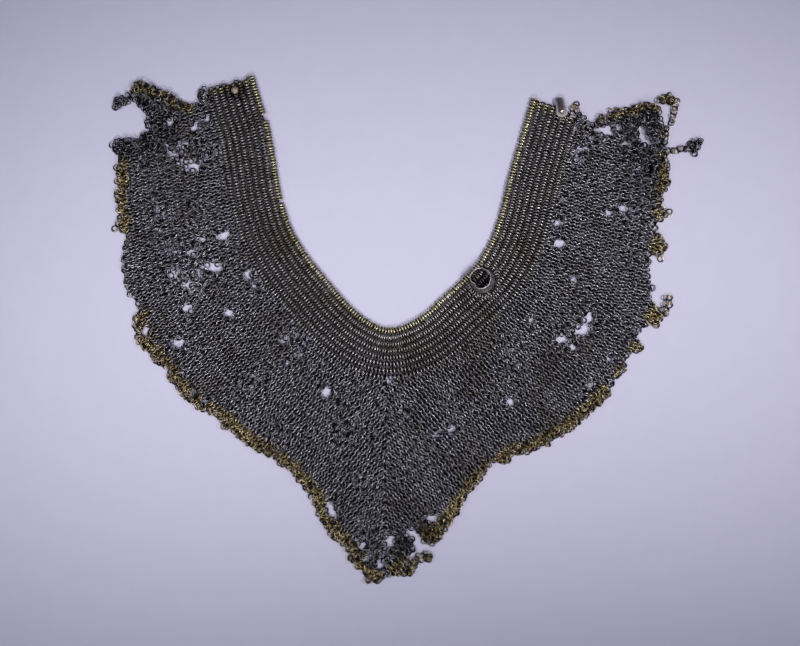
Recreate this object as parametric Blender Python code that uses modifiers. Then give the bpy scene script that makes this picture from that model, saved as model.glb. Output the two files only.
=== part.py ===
"""Mail collar, lying flat and open: a close neck band, a ragged cape with brass edges, and small fittings.

Metres, +Z up, +X across the shoulders, the point of the V towards -Y. The mail rests on the plane z = 0.
The plan starts at the top of the neck opening, on its middle line, and is centred at the end.
"""

import math

import bmesh
import bpy
import numpy as np
from mathutils import Matrix, Vector

# Sizes of the whole collar, in plan
COLLAR_WIDTH = 0.480
COLLAR_LENGTH = 0.408
NECK_WIDTH = 0.221
NECK_DEPTH = 0.2024

# Woven widths, measured square to the edge that they follow
BAND_WIDTH = 0.0400
EDGING_WIDTH = 0.0054
END_EDGING_WIDTH = 0.0072
HEM_WIDTH = 0.0106

# Thickness of the lying mail
BAND_THICKNESS = 0.0045
CAPE_THICKNESS = 0.0035

# One link of the loose strands
LINK_DIAMETER = 0.0056
WIRE_DIAMETER = 0.0010
LINK_SIDES = 10
WIRE_SIDES = 5
LINK_BITE = 0.0003
LINK_LEAN = math.radians(45)

# Copper-coloured stud at the left end of the band
STUD_DIAMETER = 0.0060
STUD_HEIGHT = 0.0019
STUD_SHANK = 0.0022

# Folded strap end at the right end of the band, and its rivet
TAB_LENGTH = 0.0150
TAB_WIDTH = 0.0080
TAB_TOP_WIDTH = 0.0052
TAB_THICKNESS = 0.0010
TAB_FOLD_DIAMETER = 0.0032
TAB_RETURN = 0.0012
TAB_TURN = math.radians(26)
RIVET_DIAMETER = 0.0026
RIVET_HEIGHT = 0.0008
RIVET_SHANK = 0.0013
RIVET_FROM_FOOT = 0.0048

# Short tube ring that stands in the right side of the band
RING_DIAMETER = 0.0176
RING_FOOT_DIAMETER = 0.0198
RING_HEIGHT = 0.0112
RING_WALL = 0.0009
RING_LEAN = math.radians(12)
RING_TURN = math.radians(-13)
RING_SINK = 0.0026
RING_DENT = 0.0016
RING_DENT_TURN = math.radians(-90)
RING_DENT_SPREAD = 0.5

# Gap between pieces that touch, and how far a cutter passes what it cuts
CLEARANCE = 0.0003
CUT_MARGIN = 0.010

# Spacing of the mesh lines that let the mail drape, and where the first one lies as a share of it
DRAPE_PITCH = 0.0205
DRAPE_START = 0.37

# How much a fold's thin end is pressed flat, as a share of CAPE_THICKNESS
FOLD_FLAT = 0.02

# How far a hem's inner side is smoothed, in hem widths
HEM_CALM = 1.6

# Points of the neck edge, of a strip beside it, of its short ends, and of a strand's route
NECK_STEPS = 240
STRIP_STEPS = 44
END_STEPS = 4
ROUTE_STEPS = 400

# Sides of a hole, a turned pin, the ring and the strap end's round parts
HOLE_SIDES = 6
TURN_STEPS = 14
RING_STEPS = 24
TAB_STEPS = 9

# Distances within which points become one
TURN_MERGE = 0.00002
CUT_MERGE = 0.000002

# Inner edge of the neck: across as a share of half NECK_WIDTH, down as a share of NECK_DEPTH
NECK_EDGE = (
    # across, down
    (-1.000, 0.000),
    (-0.949, 0.099),
    (-0.891, 0.198),
    (-0.855, 0.296),
    (-0.797, 0.482),
    (-0.725, 0.605),
    (-0.594, 0.723),
    (-0.464, 0.810),
    (-0.326, 0.897),
    (-0.181, 0.964),
    (-0.040, 0.998),
    (0.130, 0.972),
    (0.239, 0.933),
    (0.355, 0.874),
    (0.478, 0.814),
    (0.600, 0.745),
    (0.696, 0.655),
    (0.775, 0.534),
    (0.826, 0.415),
    (0.899, 0.276),
    (1.000, 0.091),
)

# Outer edge of the cape, from the left end of the band round the point to the right end.
# Each stretch: its brass hem or none, the hem's depth as a share of HEM_WIDTH, and rows of
# across as a share of COLLAR_WIDTH and down as a share of COLLAR_LENGTH.
CAPE_EDGE = (
    ("hem_flap_left", 0.62, (
        (-0.331, 0.055), (-0.340, 0.053), (-0.355, 0.049), (-0.372, 0.037), (-0.393, 0.025),
        (-0.412, 0.018), (-0.425, 0.010), (-0.437, 0.018),
    )),
    (None, 0.0, (
        (-0.439, 0.040), (-0.433, 0.055), (-0.423, 0.069), (-0.409, 0.084), (-0.414, 0.096),
        (-0.405, 0.108), (-0.417, 0.116), (-0.428, 0.125), (-0.448, 0.120), (-0.470, 0.135),
        (-0.463, 0.155),
    )),
    ("hem_side_left", 0.80, (
        (-0.453, 0.165), (-0.463, 0.182), (-0.460, 0.208), (-0.463, 0.229), (-0.460, 0.253),
        (-0.458, 0.273), (-0.465, 0.296), (-0.452, 0.306),
    )),
    (None, 0.0, (
        (-0.444, 0.318), (-0.449, 0.334), (-0.452, 0.351), (-0.452, 0.384), (-0.447, 0.418),
        (-0.438, 0.439), (-0.426, 0.449),
    )),
    ("hem_lower_left", 1.0, (
        (-0.424, 0.461), (-0.433, 0.471), (-0.435, 0.492), (-0.430, 0.518), (-0.423, 0.535),
        (-0.408, 0.547), (-0.402, 0.561), (-0.386, 0.572), (-0.374, 0.579), (-0.375, 0.596),
        (-0.368, 0.612), (-0.352, 0.635), (-0.338, 0.645), (-0.328, 0.659), (-0.302, 0.667),
        (-0.292, 0.678), (-0.282, 0.692), (-0.257, 0.714), (-0.245, 0.725), (-0.222, 0.741),
        (-0.203, 0.751), (-0.193, 0.763), (-0.175, 0.776), (-0.157, 0.800), (-0.143, 0.820),
        (-0.135, 0.837), (-0.127, 0.865), (-0.117, 0.888), (-0.102, 0.910), (-0.085, 0.925),
        (-0.076, 0.939), (-0.068, 0.955), (-0.061, 0.973), (-0.045, 0.990), (-0.030, 0.998),
    )),
    (None, 0.0, (
        (-0.017, 0.998), (-0.010, 0.984), (0.013, 0.986), (0.028, 0.984), (0.040, 0.976),
        (0.037, 0.959), (0.027, 0.945), (0.037, 0.931), (0.035, 0.912), (0.020, 0.903),
        (0.025, 0.889), (0.036, 0.892),
    )),
    ("hem_lower_right", 0.88, (
        (0.047, 0.908), (0.062, 0.922), (0.080, 0.910), (0.090, 0.892), (0.100, 0.875),
        (0.113, 0.849), (0.128, 0.818), (0.140, 0.806), (0.155, 0.778), (0.165, 0.759),
        (0.180, 0.767), (0.196, 0.757), (0.204, 0.741), (0.216, 0.749), (0.237, 0.739),
        (0.267, 0.716), (0.302, 0.694), (0.328, 0.667), (0.347, 0.647), (0.363, 0.622),
    )),
    (None, 0.0, (
        (0.371, 0.598), (0.391, 0.584), (0.386, 0.565), (0.397, 0.543), (0.412, 0.549),
        (0.421, 0.529), (0.407, 0.514), (0.414, 0.501), (0.423, 0.491), (0.433, 0.497),
        (0.443, 0.494), (0.450, 0.480), (0.456, 0.467), (0.448, 0.456), (0.435, 0.455),
        (0.433, 0.439), (0.428, 0.390), (0.427, 0.363), (0.434, 0.352), (0.447, 0.361),
        (0.457, 0.347), (0.457, 0.322), (0.443, 0.312), (0.438, 0.292), (0.456, 0.281),
        (0.457, 0.266), (0.446, 0.251),
    )),
    ("hem_side_right", 0.76, (
        (0.452, 0.233), (0.462, 0.216), (0.463, 0.190), (0.460, 0.167), (0.456, 0.152),
    )),
    (None, 0.0, (
        (0.455, 0.134), (0.464, 0.121), (0.458, 0.104), (0.449, 0.088), (0.445, 0.072),
    )),
    ("hem_flap_right", 0.62, (
        (0.444, 0.056), (0.430, 0.048), (0.407, 0.057), (0.382, 0.065), (0.357, 0.069),
        (0.343, 0.083),
    )),
    (None, 0.0, (
        (0.332, 0.091),
    )),
)

# Where the cape leaves the band at each end, as a share of the neck edge's length
CAPE_LEAVES_LEFT = 0.024
CAPE_LEAVES_RIGHT = 0.965

# Holes where links are missing: the place as in the cape's edge, the size in links, the turn in degrees
HOLES = (
    # across, down, long, wide, turn
    (-0.372, 0.096, 1.3, 1.1, 0),
    (-0.330, 0.100, 1.7, 0.9, 90),
    (-0.309, 0.088, 1.3, 0.6, 85),
    (-0.392, 0.127, 0.8, 0.7, 0),
    (-0.333, 0.180, 2.0, 0.9, -12),
    (-0.413, 0.175, 1.1, 0.7, 0),
    (-0.282, 0.318, 1.8, 1.3, 45),
    (-0.338, 0.347, 0.9, 0.9, 0),
    (-0.298, 0.378, 2.9, 1.1, 4),
    (-0.367, 0.392, 2.0, 1.1, -8),
    (-0.243, 0.392, 1.3, 0.9, 90),
    (-0.232, 0.414, 0.9, 0.6, 90),
    (-0.345, 0.457, 1.7, 1.1, 90),
    (-0.273, 0.467, 1.1, 1.0, 0),
    (-0.358, 0.525, 1.7, 1.6, 20),
    (-0.413, 0.502, 2.0, 0.7, 90),
    (-0.180, 0.522, 1.0, 0.7, 0),
    (-0.153, 0.547, 0.9, 0.9, 0),
    (-0.177, 0.563, 0.9, 0.5, 0),
    (-0.112, 0.622, 1.7, 1.3, 90),
    (-0.333, 0.624, 1.4, 0.7, 0),
    (-0.314, 0.640, 0.7, 0.7, 0),
    (-0.352, 0.584, 0.6, 0.6, 0),
    (-0.195, 0.737, 0.7, 0.6, 0),
    (-0.102, 0.857, 3.6, 0.9, -56),
    (-0.055, 0.876, 0.9, 0.7, 0),
    (-0.050, 0.922, 1.1, 1.1, 0),
    (-0.005, 0.914, 2.0, 1.4, 90),
    (-0.045, 0.948, 0.9, 0.7, 0),
    (-0.021, 0.960, 1.1, 0.8, 0),
    (0.067, 0.868, 1.7, 1.0, 0),
    (0.277, 0.329, 1.7, 1.0, 0),
    (0.275, 0.290, 1.1, 0.9, 0),
    (0.282, 0.243, 0.6, 0.6, 0),
    (0.300, 0.400, 1.1, 0.7, 0),
    (0.326, 0.475, 1.8, 1.1, 78),
    (0.318, 0.502, 2.4, 1.2, 20),
    (0.280, 0.520, 2.0, 0.7, 0),
    (0.300, 0.534, 1.0, 0.9, 90),
    (0.230, 0.480, 0.9, 0.7, 0),
    (0.195, 0.643, 1.0, 1.0, 0),
    (0.097, 0.696, 1.3, 0.9, 0),
    (0.073, 0.708, 0.7, 0.7, 0),
    (0.357, 0.112, 1.9, 1.3, 0),
    (0.385, 0.135, 0.9, 0.7, 90),
    (0.308, 0.147, 0.6, 0.6, 0),
    (0.303, 0.171, 0.6, 0.6, 0),
    (0.417, 0.116, 1.7, 0.6, 80),
    (0.407, 0.182, 0.6, 0.6, 0),
    (0.360, 0.273, 1.5, 0.7, 0),
    (0.385, 0.262, 1.3, 0.9, 0),
    (0.357, 0.557, 0.7, 0.7, 0),
    (0.330, 0.609, 0.7, 0.7, 0),
    (0.393, 0.520, 0.7, 0.7, 0),
)

# Gathers and soft folds of the cape: the middle's place, the length and width as shares of
# COLLAR_WIDTH, the turn in degrees, and the height as a share of CAPE_THICKNESS
FOLDS = (
    # across, down, long, wide, turn, high
    (0.432, 0.135, 0.130, 0.056, 82, 1.10),
    (0.400, 0.220, 0.110, 0.060, 70, 0.70),
    (-0.395, 0.068, 0.100, 0.050, -28, 0.90),
    (-0.425, 0.150, 0.080, 0.050, -20, 0.80),
    (-0.390, 0.330, 0.140, 0.056, 65, 0.55),
    (-0.270, 0.560, 0.190, 0.060, 42, 0.65),
    (-0.140, 0.720, 0.200, 0.060, 52, 0.55),
    (0.010, 0.800, 0.200, 0.060, 88, 0.70),
    (0.120, 0.680, 0.170, 0.056, -52, 0.55),
    (0.265, 0.590, 0.160, 0.060, -44, 0.60),
    (0.370, 0.400, 0.150, 0.056, -72, 0.55),
)

# Notches where links are gone from the brass neck edging: place along the neck edge, and width in links
NECK_NOTCHES = (
    # along, wide
    (0.074, 0.8),
    (0.222, 0.6),
)

# Rounded head of a pin, from its middle to its rim: shares of its diameter and of its height
PIN_HEAD = (
    # out, up
    (0.00, 1.00),
    (0.22, 0.93),
    (0.40, 0.62),
    (0.50, 0.22),
    (0.50, 0.00),
)

# Loose strands. Each has its name, its metal, what it hangs from and the rows of its route. A route over
# the cape has places as in the cape's edge. One from the band's right end has shares of BAND_WIDTH.
STRANDS = (
    ("strand_flap_left", "steel", "cape", (
        # across, down
        (-0.440, 0.036), (-0.453, 0.035), (-0.466, 0.043), (-0.472, 0.058), (-0.464, 0.074),
        (-0.450, 0.070),
    )),
    ("strand_side_right", "steel", "cape", (
        # across, down
        (0.462, 0.149), (0.474, 0.147), (0.486, 0.144), (0.498, 0.147), (0.510, 0.143),
        (0.513, 0.133), (0.506, 0.124), (0.497, 0.128),
    )),
    ("strand_flap_right", "brass", "cape", (
        # across, down
        (0.443, 0.052), (0.455, 0.041), (0.467, 0.047), (0.473, 0.061), (0.469, 0.074),
        (0.465, 0.086),
    )),
    ("strand_hook", "brass", "cape", (
        # across, down
        (0.453, 0.460), (0.458, 0.447), (0.457, 0.437), (0.452, 0.428),
    )),
    ("strand_point", "brass", "cape", (
        # across, down
        (0.031, 0.955), (0.041, 0.945), (0.053, 0.938), (0.064, 0.944), (0.066, 0.960),
    )),
    ("strand_corner", "brass", "band_end", (
        # out, past
        (0.878, -0.056), (0.908, 0.050), (0.920, 0.146),
    )),
)

# Links of a strand, past its first, that the mail is cut clear of
STRAND_ROOM_LINKS = 2

# Places of the fittings: along the neck edge as a share of its length, out as a share of BAND_WIDTH
STUD_PLACE = (0.017, 0.46)
TAB_PLACE = (0.979, 0.58)
RING_PLACE = (0.686, 0.33)

# Colour, roughness and metallic value of each metal
METALS = {
    "steel": ((0.070, 0.068, 0.076), 0.42, 0.95),
    "brass": ((0.230, 0.180, 0.075), 0.40, 0.95),
    "copper": ((0.560, 0.360, 0.260), 0.38, 0.95),
    "tab_steel": ((0.300, 0.270, 0.265), 0.45, 0.90),
    "bright_steel": ((0.480, 0.450, 0.440), 0.30, 0.95),
    "ring_steel": ((0.240, 0.235, 0.230), 0.36, 0.95),
}


def smooth_line(places, count):
    """Evenly spaced points on the cubic line through places, whose slopes are central differences."""
    places = np.asarray(places, float)
    along = lengths_along(places)
    slope = np.gradient(places, along, axis=0)
    fine = np.linspace(0.0, along[-1], count * 8)
    left = np.clip(np.searchsorted(along, fine, side="right") - 1, 0, len(along) - 2)
    step = (along[left + 1] - along[left])[:, None]
    u = (fine - along[left])[:, None] / step
    line = (
        (1 + 2 * u) * (1 - u) ** 2 * places[left]
        + u * (1 - u) ** 2 * step * slope[left]
        + u**2 * (3 - 2 * u) * places[left + 1]
        + u**2 * (u - 1) * step * slope[left + 1]
    )
    return line_at(line, np.linspace(0.0, 1.0, count))


def lengths_along(line):
    """Length of the line up to each of its points."""
    return np.concatenate([[0.0], np.cumsum(np.linalg.norm(np.diff(line, axis=0), axis=1))])


def line_at(line, shares):
    """Points of the line at shares of its length."""
    along = lengths_along(line)
    at = np.asarray(shares) * along[-1]
    return np.column_stack([np.interp(at, along, line[:, k]) for k in range(line.shape[1])])


def outward(line):
    """Unit normals on the side of the line where the mail lies, which is its right hand."""
    ahead = np.gradient(line, axis=0)
    ahead /= np.linalg.norm(ahead, axis=1)[:, None]
    return np.column_stack([ahead[:, 1], -ahead[:, 0]])


def neck_place(share, out):
    """Plan point at a share of the neck edge's length, that far out from the edge."""
    line = neck_edge()
    normal = outward(line)
    return line_at(line + normal * out, [share_after_offset(line, normal, out, share)])[0]


def share_after_offset(line, normal, out, share):
    """Share of the offset line's length at the foot of a share of the neck edge's length."""
    along = lengths_along(line)
    moved = lengths_along(line + normal * out)
    return np.interp(share * along[-1], along, moved) / moved[-1]


def neck_edge():
    """Neck edge in plan, from its left top round the V to its right top."""
    places = np.array(NECK_EDGE) * [NECK_WIDTH / 2, -NECK_DEPTH]
    return smooth_line(places, NECK_STEPS)


def beside_neck(out, first, last, count):
    """Line that runs beside the neck edge at a distance, between two shares of the edge's length."""
    line = neck_edge()
    normal = outward(line)
    moved = line + normal * out
    ends = [share_after_offset(line, normal, out, share) for share in (first, last)]
    return line_at(moved, np.linspace(ends[0], ends[1], count))


def neck_strip(inner, outer, first, last, count):
    """Plan outline of the strip between two distances from the neck edge."""
    near = beside_neck(inner, first, last, count)
    far = beside_neck(outer, first, last, count)
    return np.concatenate([near, far[::-1]])


def cape_places(rows):
    """Plan points of rows given as shares of COLLAR_WIDTH and COLLAR_LENGTH."""
    return np.array(rows, float) * [COLLAR_WIDTH, -COLLAR_LENGTH]


def hem_depths():
    """Row by row: the outer edge, its smoothed run, the inward normal there, the hem's name and its depth."""
    rows = np.concatenate([cape_places(stretch[2]) for stretch in CAPE_EDGE])
    names = [stretch[0] for stretch in CAPE_EDGE for _ in stretch[2]]
    depths = np.array([stretch[1] * HEM_WIDTH for stretch in CAPE_EDGE for _ in stretch[2]])
    reach = HEM_WIDTH * HEM_CALM
    gaps = np.linalg.norm(rows[:, None] - rows[None], axis=2)
    same = np.array([[a is not None and a == b for b in names] for a in names])
    weight = np.exp(-((gaps / reach) ** 2)) * same + np.eye(len(rows)) * 1e-6
    calm = weight @ rows / weight.sum(axis=1)[:, None]
    inward = np.zeros_like(rows)
    for name in {n for n in names if n}:
        run = [i for i, n in enumerate(names) if n == name]
        inward[run] = -outward(calm[run])
    return rows, calm, inward, names, depths


def hem_outline(name):
    """Plan outline of one brass hem: its ragged outer edge, and a calm line inside it."""
    rows, calm, inward, names, depths = hem_depths()
    run = [i for i, n in enumerate(names) if n == name]
    inside = calm[run] + inward[run] * depths[run][:, None]
    inside[[0, -1]] = rows[run][[0, -1]] + (inward[run] * depths[run][:, None])[[0, -1]]
    return np.concatenate([rows[run], inside[::-1]])


def cape_outline():
    """Plan outline of the cape: the band's outer side, then the edge less the brass hems."""
    rows, calm, inward, names, depths = hem_depths()
    outline = []
    for i, name in enumerate(names):
        if name is None:
            outline.append(rows[i])
            continue
        first = i == 0 or names[i - 1] != name
        last = i == len(names) - 1 or names[i + 1] != name
        deep = inward[i] * (depths[i] + CLEARANCE)
        ahead = np.array([inward[i][1], -inward[i][0]]) * CLEARANCE
        if first:
            outline += [rows[i] - ahead, rows[i] - ahead + deep]
        elif last:
            outline += [rows[i] + ahead + deep, rows[i] + ahead]
        else:
            outline.append(calm[i] + deep)
    side = beside_neck(BAND_WIDTH + CLEARANCE, CAPE_LEAVES_RIGHT, CAPE_LEAVES_LEFT, STRIP_STEPS)
    return np.concatenate([np.array(outline), side])


def drape(places):
    """Height of the mail's underside: the sum of its folds, each a round-ended ridge."""
    places = np.asarray(places, float)
    height = np.zeros(len(places))
    for across, down, long, wide, turn, high in FOLDS:
        middle = cape_places([(across, down)])[0]
        c, s = math.cos(math.radians(turn)), math.sin(math.radians(turn))
        away = places - middle
        u = (away @ [c, s]) / (long * COLLAR_WIDTH / 2)
        v = (away @ [-s, c]) / (wide * COLLAR_WIDTH / 2)
        height += high * CAPE_THICKNESS * np.exp(-(u**2) - v**2)
    return np.maximum(height - FOLD_FLAT * CAPE_THICKNESS, 0.0)


def link_object(name, mesh, collection):
    """Object in a collection, holding the given mesh."""
    ob = bpy.data.objects.new(name, mesh)
    collection.objects.link(ob)
    return ob


def mesh_from(bm, name):
    """New mesh from a bmesh, which is freed."""
    mesh = bpy.data.meshes.new(name)
    bm.to_mesh(mesh)
    bm.free()
    return mesh


def prism(name, outline, low, high):
    """Closed prism over a plan outline, from one height to another."""
    curve = bpy.data.curves.new(name, "CURVE")
    curve.dimensions = "2D"
    curve.fill_mode = "BOTH"
    curve.extrude = (high - low) / 2
    spline = curve.splines.new("POLY")
    spline.points.add(len(outline) - 1)
    spline.use_cyclic_u = True
    flat = np.column_stack([outline, np.zeros(len(outline)), np.ones(len(outline))])
    spline.points.foreach_set("co", flat.ravel())
    guide = bpy.data.objects.new(name, curve)
    bpy.context.scene.collection.objects.link(guide)
    bpy.context.view_layer.update()
    seen = guide.evaluated_get(bpy.context.evaluated_depsgraph_get())
    mesh = bpy.data.meshes.new_from_object(seen)
    bpy.data.objects.remove(guide)
    bm = bmesh.new()
    bm.from_mesh(mesh)
    bpy.data.meshes.remove(mesh)
    bmesh.ops.remove_doubles(bm, verts=bm.verts, dist=CUT_MERGE)
    bmesh.ops.translate(bm, verts=bm.verts, vec=(0, 0, (high + low) / 2))
    bmesh.ops.recalc_face_normals(bm, faces=bm.faces)
    return bm


def add_drape_lines(bm):
    """Mesh lines across both faces of a prism, so that it can follow the folds."""
    flat = [e for e in bm.edges if all(abs(f.normal.z) > 0.99 for f in e.link_faces)]
    bmesh.ops.dissolve_edges(bm, edges=flat, use_verts=False)
    for axis in (0, 1):
        low = min(v.co[axis] for v in bm.verts)
        high = max(v.co[axis] for v in bm.verts)
        for k in range(math.ceil(low / DRAPE_PITCH), math.floor(high / DRAPE_PITCH) + 1):
            at, square = Vector((0, 0, 0)), Vector((0, 0, 0))
            at[axis] = (k + DRAPE_START) * DRAPE_PITCH
            square[axis] = 1.0
            everything = list(bm.verts) + list(bm.edges) + list(bm.faces)
            bmesh.ops.bisect_plane(bm, geom=everything, plane_co=at, plane_no=square, dist=1e-5)


def sheet_of_mail(name, outline, thickness, metal, parts, draped=True):
    """Mail over a plan outline, of even thickness, lifted off the ground by its folds."""
    bm = prism(name, outline, 0.0, thickness)
    if draped:
        add_drape_lines(bm)
        lift = drape([v.co.xy for v in bm.verts])
        for vert, height in zip(bm.verts, lift):
            vert.co.z += height
    bmesh.ops.triangulate(bm, faces=bm.faces)
    piece = link_object(name, mesh_from(bm, name), parts)
    piece.data.materials.append(metal)
    return piece


def cutter_from(bm, name, cutters):
    """Hidden cutter in its own collection."""
    bmesh.ops.recalc_face_normals(bm, faces=bm.faces)
    tool = link_object(name, mesh_from(bm, name), cutters)
    tool.hide_render = True
    tool.display_type = "WIRE"
    return tool


def apply_cuts(piece, tools, operation="DIFFERENCE"):
    """Boolean with each tool in turn, then the largest body is kept."""
    for tool in tools:
        cut = piece.modifiers.new(tool.name, "BOOLEAN")
        cut.operation = operation
        cut.solver = "EXACT"
        cut.use_self = True
        cut.object = tool
    seen = piece.evaluated_get(bpy.context.evaluated_depsgraph_get())
    mesh = bpy.data.meshes.new_from_object(seen)
    piece.modifiers.clear()
    piece.data = mesh
    keep_largest(mesh)


def keep_largest(mesh):
    """Takes away scraps that a cut has left loose."""
    bm = bmesh.new()
    bm.from_mesh(mesh)
    bmesh.ops.remove_doubles(bm, verts=bm.verts, dist=CUT_MERGE)
    left, bodies = set(bm.faces), []
    while left:
        body, front = set(), [left.pop()]
        while front:
            face = front.pop()
            body.add(face)
            sound = [edge for edge in face.edges if len(edge.link_faces) == 2]
            near = {other for edge in sound for other in edge.link_faces} & left
            left -= near
            front += near
        bodies.append(body)
    bodies.sort(key=len)
    for body in bodies[:-1]:
        bmesh.ops.delete(bm, geom=list(body), context="FACES")
    bmesh.ops.triangulate(bm, faces=bm.faces)
    bm.to_mesh(mesh)
    bm.free()


def hole_cutter(cutters):
    """Upright prisms where links are missing from the cape and its hems."""
    bm = bmesh.new()
    height = CAPE_THICKNESS + CUT_MARGIN * 2
    for across, down, long, wide, turn in HOLES:
        x, y = cape_places([(across, down)])[0]
        size = Matrix.Diagonal((long * LINK_DIAMETER, wide * LINK_DIAMETER, 1, 1))
        place = Matrix.Translation((x, y, CAPE_THICKNESS / 2)) @ Matrix.Rotation(math.radians(turn), 4, "Z")
        bmesh.ops.create_cone(
            bm, cap_ends=True, segments=HOLE_SIDES, radius1=0.5, radius2=0.5, depth=height,
            matrix=place @ size,
        )
    return cutter_from(bm, "missing_links", cutters)


def notch_cutter(cutters):
    """Boxes across the brass neck edging where its links are gone."""
    bm = bmesh.new()
    for along, wide in NECK_NOTCHES:
        x, y = neck_place(along, 0.0)
        ahead = neck_place(along + 0.01, 0.0) - (x, y)
        turn = Matrix.Rotation(math.atan2(ahead[1], ahead[0]), 4, "Z")
        size = Matrix.Diagonal((wide * LINK_DIAMETER, EDGING_WIDTH * 1.2, BAND_THICKNESS + CUT_MARGIN, 1))
        place = Matrix.Translation((x, y, BAND_THICKNESS / 2))
        bmesh.ops.create_cube(bm, size=1.0, matrix=place @ turn @ size)
    return cutter_from(bm, "missing_edging", cutters)


def turned(name, profile, collection, steps=TURN_STEPS):
    """Closed solid turned from a profile of radius and height, given top to bottom from axis to axis."""
    mesh = bpy.data.meshes.new(name)
    mesh.from_pydata([(r, 0, z) for r, z in profile], [(i, i + 1) for i in range(len(profile) - 1)], [])
    ob = link_object(name, mesh, collection)
    screw = ob.modifiers.new("turn", "SCREW")
    screw.steps = steps
    screw.render_steps = steps
    screw.use_merge_vertices = True
    screw.merge_threshold = TURN_MERGE
    return ob


def headed_pin(name, place, seat, head, height, shank, length, metal, parts):
    """Turned pin: a low rounded head whose underside is at the seat's height, and a shank below it."""
    profile = [(out * head, up * height) for out, up in PIN_HEAD]
    profile += [(shank / 2, 0.0), (shank / 2, -length), (0.0, -length)]
    pin = turned(name, profile, parts)
    pin.location = (place[0], place[1], seat)
    pin.data.materials.append(metal)
    return pin


def bore_cutter(name, place, diameter, top, cutters):
    """Upright round cutter through everything between the ground and a height."""
    bm = bmesh.new()
    bmesh.ops.create_cone(
        bm, cap_ends=True, segments=TURN_STEPS, radius1=diameter / 2, radius2=diameter / 2,
        depth=top + 2 * CUT_MARGIN, matrix=Matrix.Translation((place[0], place[1], top / 2)),
    )
    return cutter_from(bm, name, cutters)


def strand_route(carrier, rows):
    """Plan points of a strand's rows, over the cape or from the outer side of the band's right end."""
    if carrier == "cape":
        return cape_places(rows)
    end = neck_place(1.0, 0.0)
    out = neck_place(1.0, BAND_WIDTH) - end
    past = np.array([-out[1], out[0]])
    return np.array([end + out * row[0] + past * row[1] for row in rows])


def strand_line(route):
    """Middle points of a strand's links: each lies one pitch, in a straight line, from the one before."""
    line = smooth_line(route, ROUTE_STEPS)
    mean = LINK_DIAMETER - WIRE_DIAMETER
    pitch = mean - WIRE_DIAMETER * math.cos(math.pi / WIRE_SIDES) + LINK_BITE
    places = [line[0]]
    along = 0
    while True:
        gaps = np.linalg.norm(line[along:] - places[-1], axis=1)
        past = np.nonzero(gaps >= pitch)[0]
        if not len(past):
            return np.array(places)
        along += past[0]
        places.append(line[along])


def strand_of_links(name, route, metal, parts):
    """Chain of links that lean to either side by turns, each biting a hair into the next."""
    places = strand_line(route)
    ahead = np.gradient(places, axis=0)
    mean = (LINK_DIAMETER - WIRE_DIAMETER) / 2
    height = mean * math.sin(LINK_LEAN) + WIRE_DIAMETER / 2
    links = []
    for i, (place, way) in enumerate(zip(places, ahead)):
        lean = LINK_LEAN if i % 2 else -LINK_LEAN
        turn = Matrix.Rotation(math.atan2(way[1], way[0]), 4, "Z") @ Matrix.Rotation(lean, 4, "X")
        bpy.ops.mesh.primitive_torus_add(
            major_segments=LINK_SIDES, minor_segments=WIRE_SIDES, major_radius=mean,
            minor_radius=WIRE_DIAMETER / 2,
        )
        link = bpy.context.object
        link.data.transform(Matrix.Translation((place[0], place[1], height)) @ turn)
        links.append(link)
    strand = link_object(name, links[0].data, parts)
    apply_cuts(strand, links[1:], "UNION")
    for link in links:
        bpy.data.objects.remove(link)
    strand.data.materials.append(metal)
    return strand


def strand_room(name, route, cutters):
    """Cutter that leaves the mail clear of the first links of a strand."""
    places = strand_line(route)[: STRAND_ROOM_LINKS + 1]
    reach = LINK_DIAMETER / 2 + CLEARANCE
    half = (LINK_DIAMETER - WIRE_DIAMETER) / 2 * math.cos(LINK_LEAN) + WIRE_DIAMETER / 2 + CLEARANCE
    side = outward(places) * half
    back = places[0] - places[1]
    tip = places[0] + back / np.linalg.norm(back) * reach
    outline = np.concatenate([[tip + side[0]], places + side, (places - side)[::-1], [tip - side[0]]])
    bm = prism(name, outline, -CUT_MARGIN, BAND_THICKNESS + CUT_MARGIN)
    return cutter_from(bm, name, cutters)


def ring_frame():
    """Frame of the ring: its foot is sunk in the band on the neck's side, towards which it leans."""
    share, out = RING_PLACE
    foot = neck_place(share, out * BAND_WIDTH)
    away = foot - neck_place(share, 0.0)
    turn = Matrix.Rotation(math.atan2(away[1], away[0]) + RING_TURN, 4, "Z")
    lean = Matrix.Rotation(-RING_LEAN, 4, "Y")
    height = BAND_THICKNESS - RING_SINK + RING_FOOT_DIAMETER / 2 * math.sin(RING_LEAN)
    return Matrix.Translation((foot[0], foot[1], height)) @ turn @ lean


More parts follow.
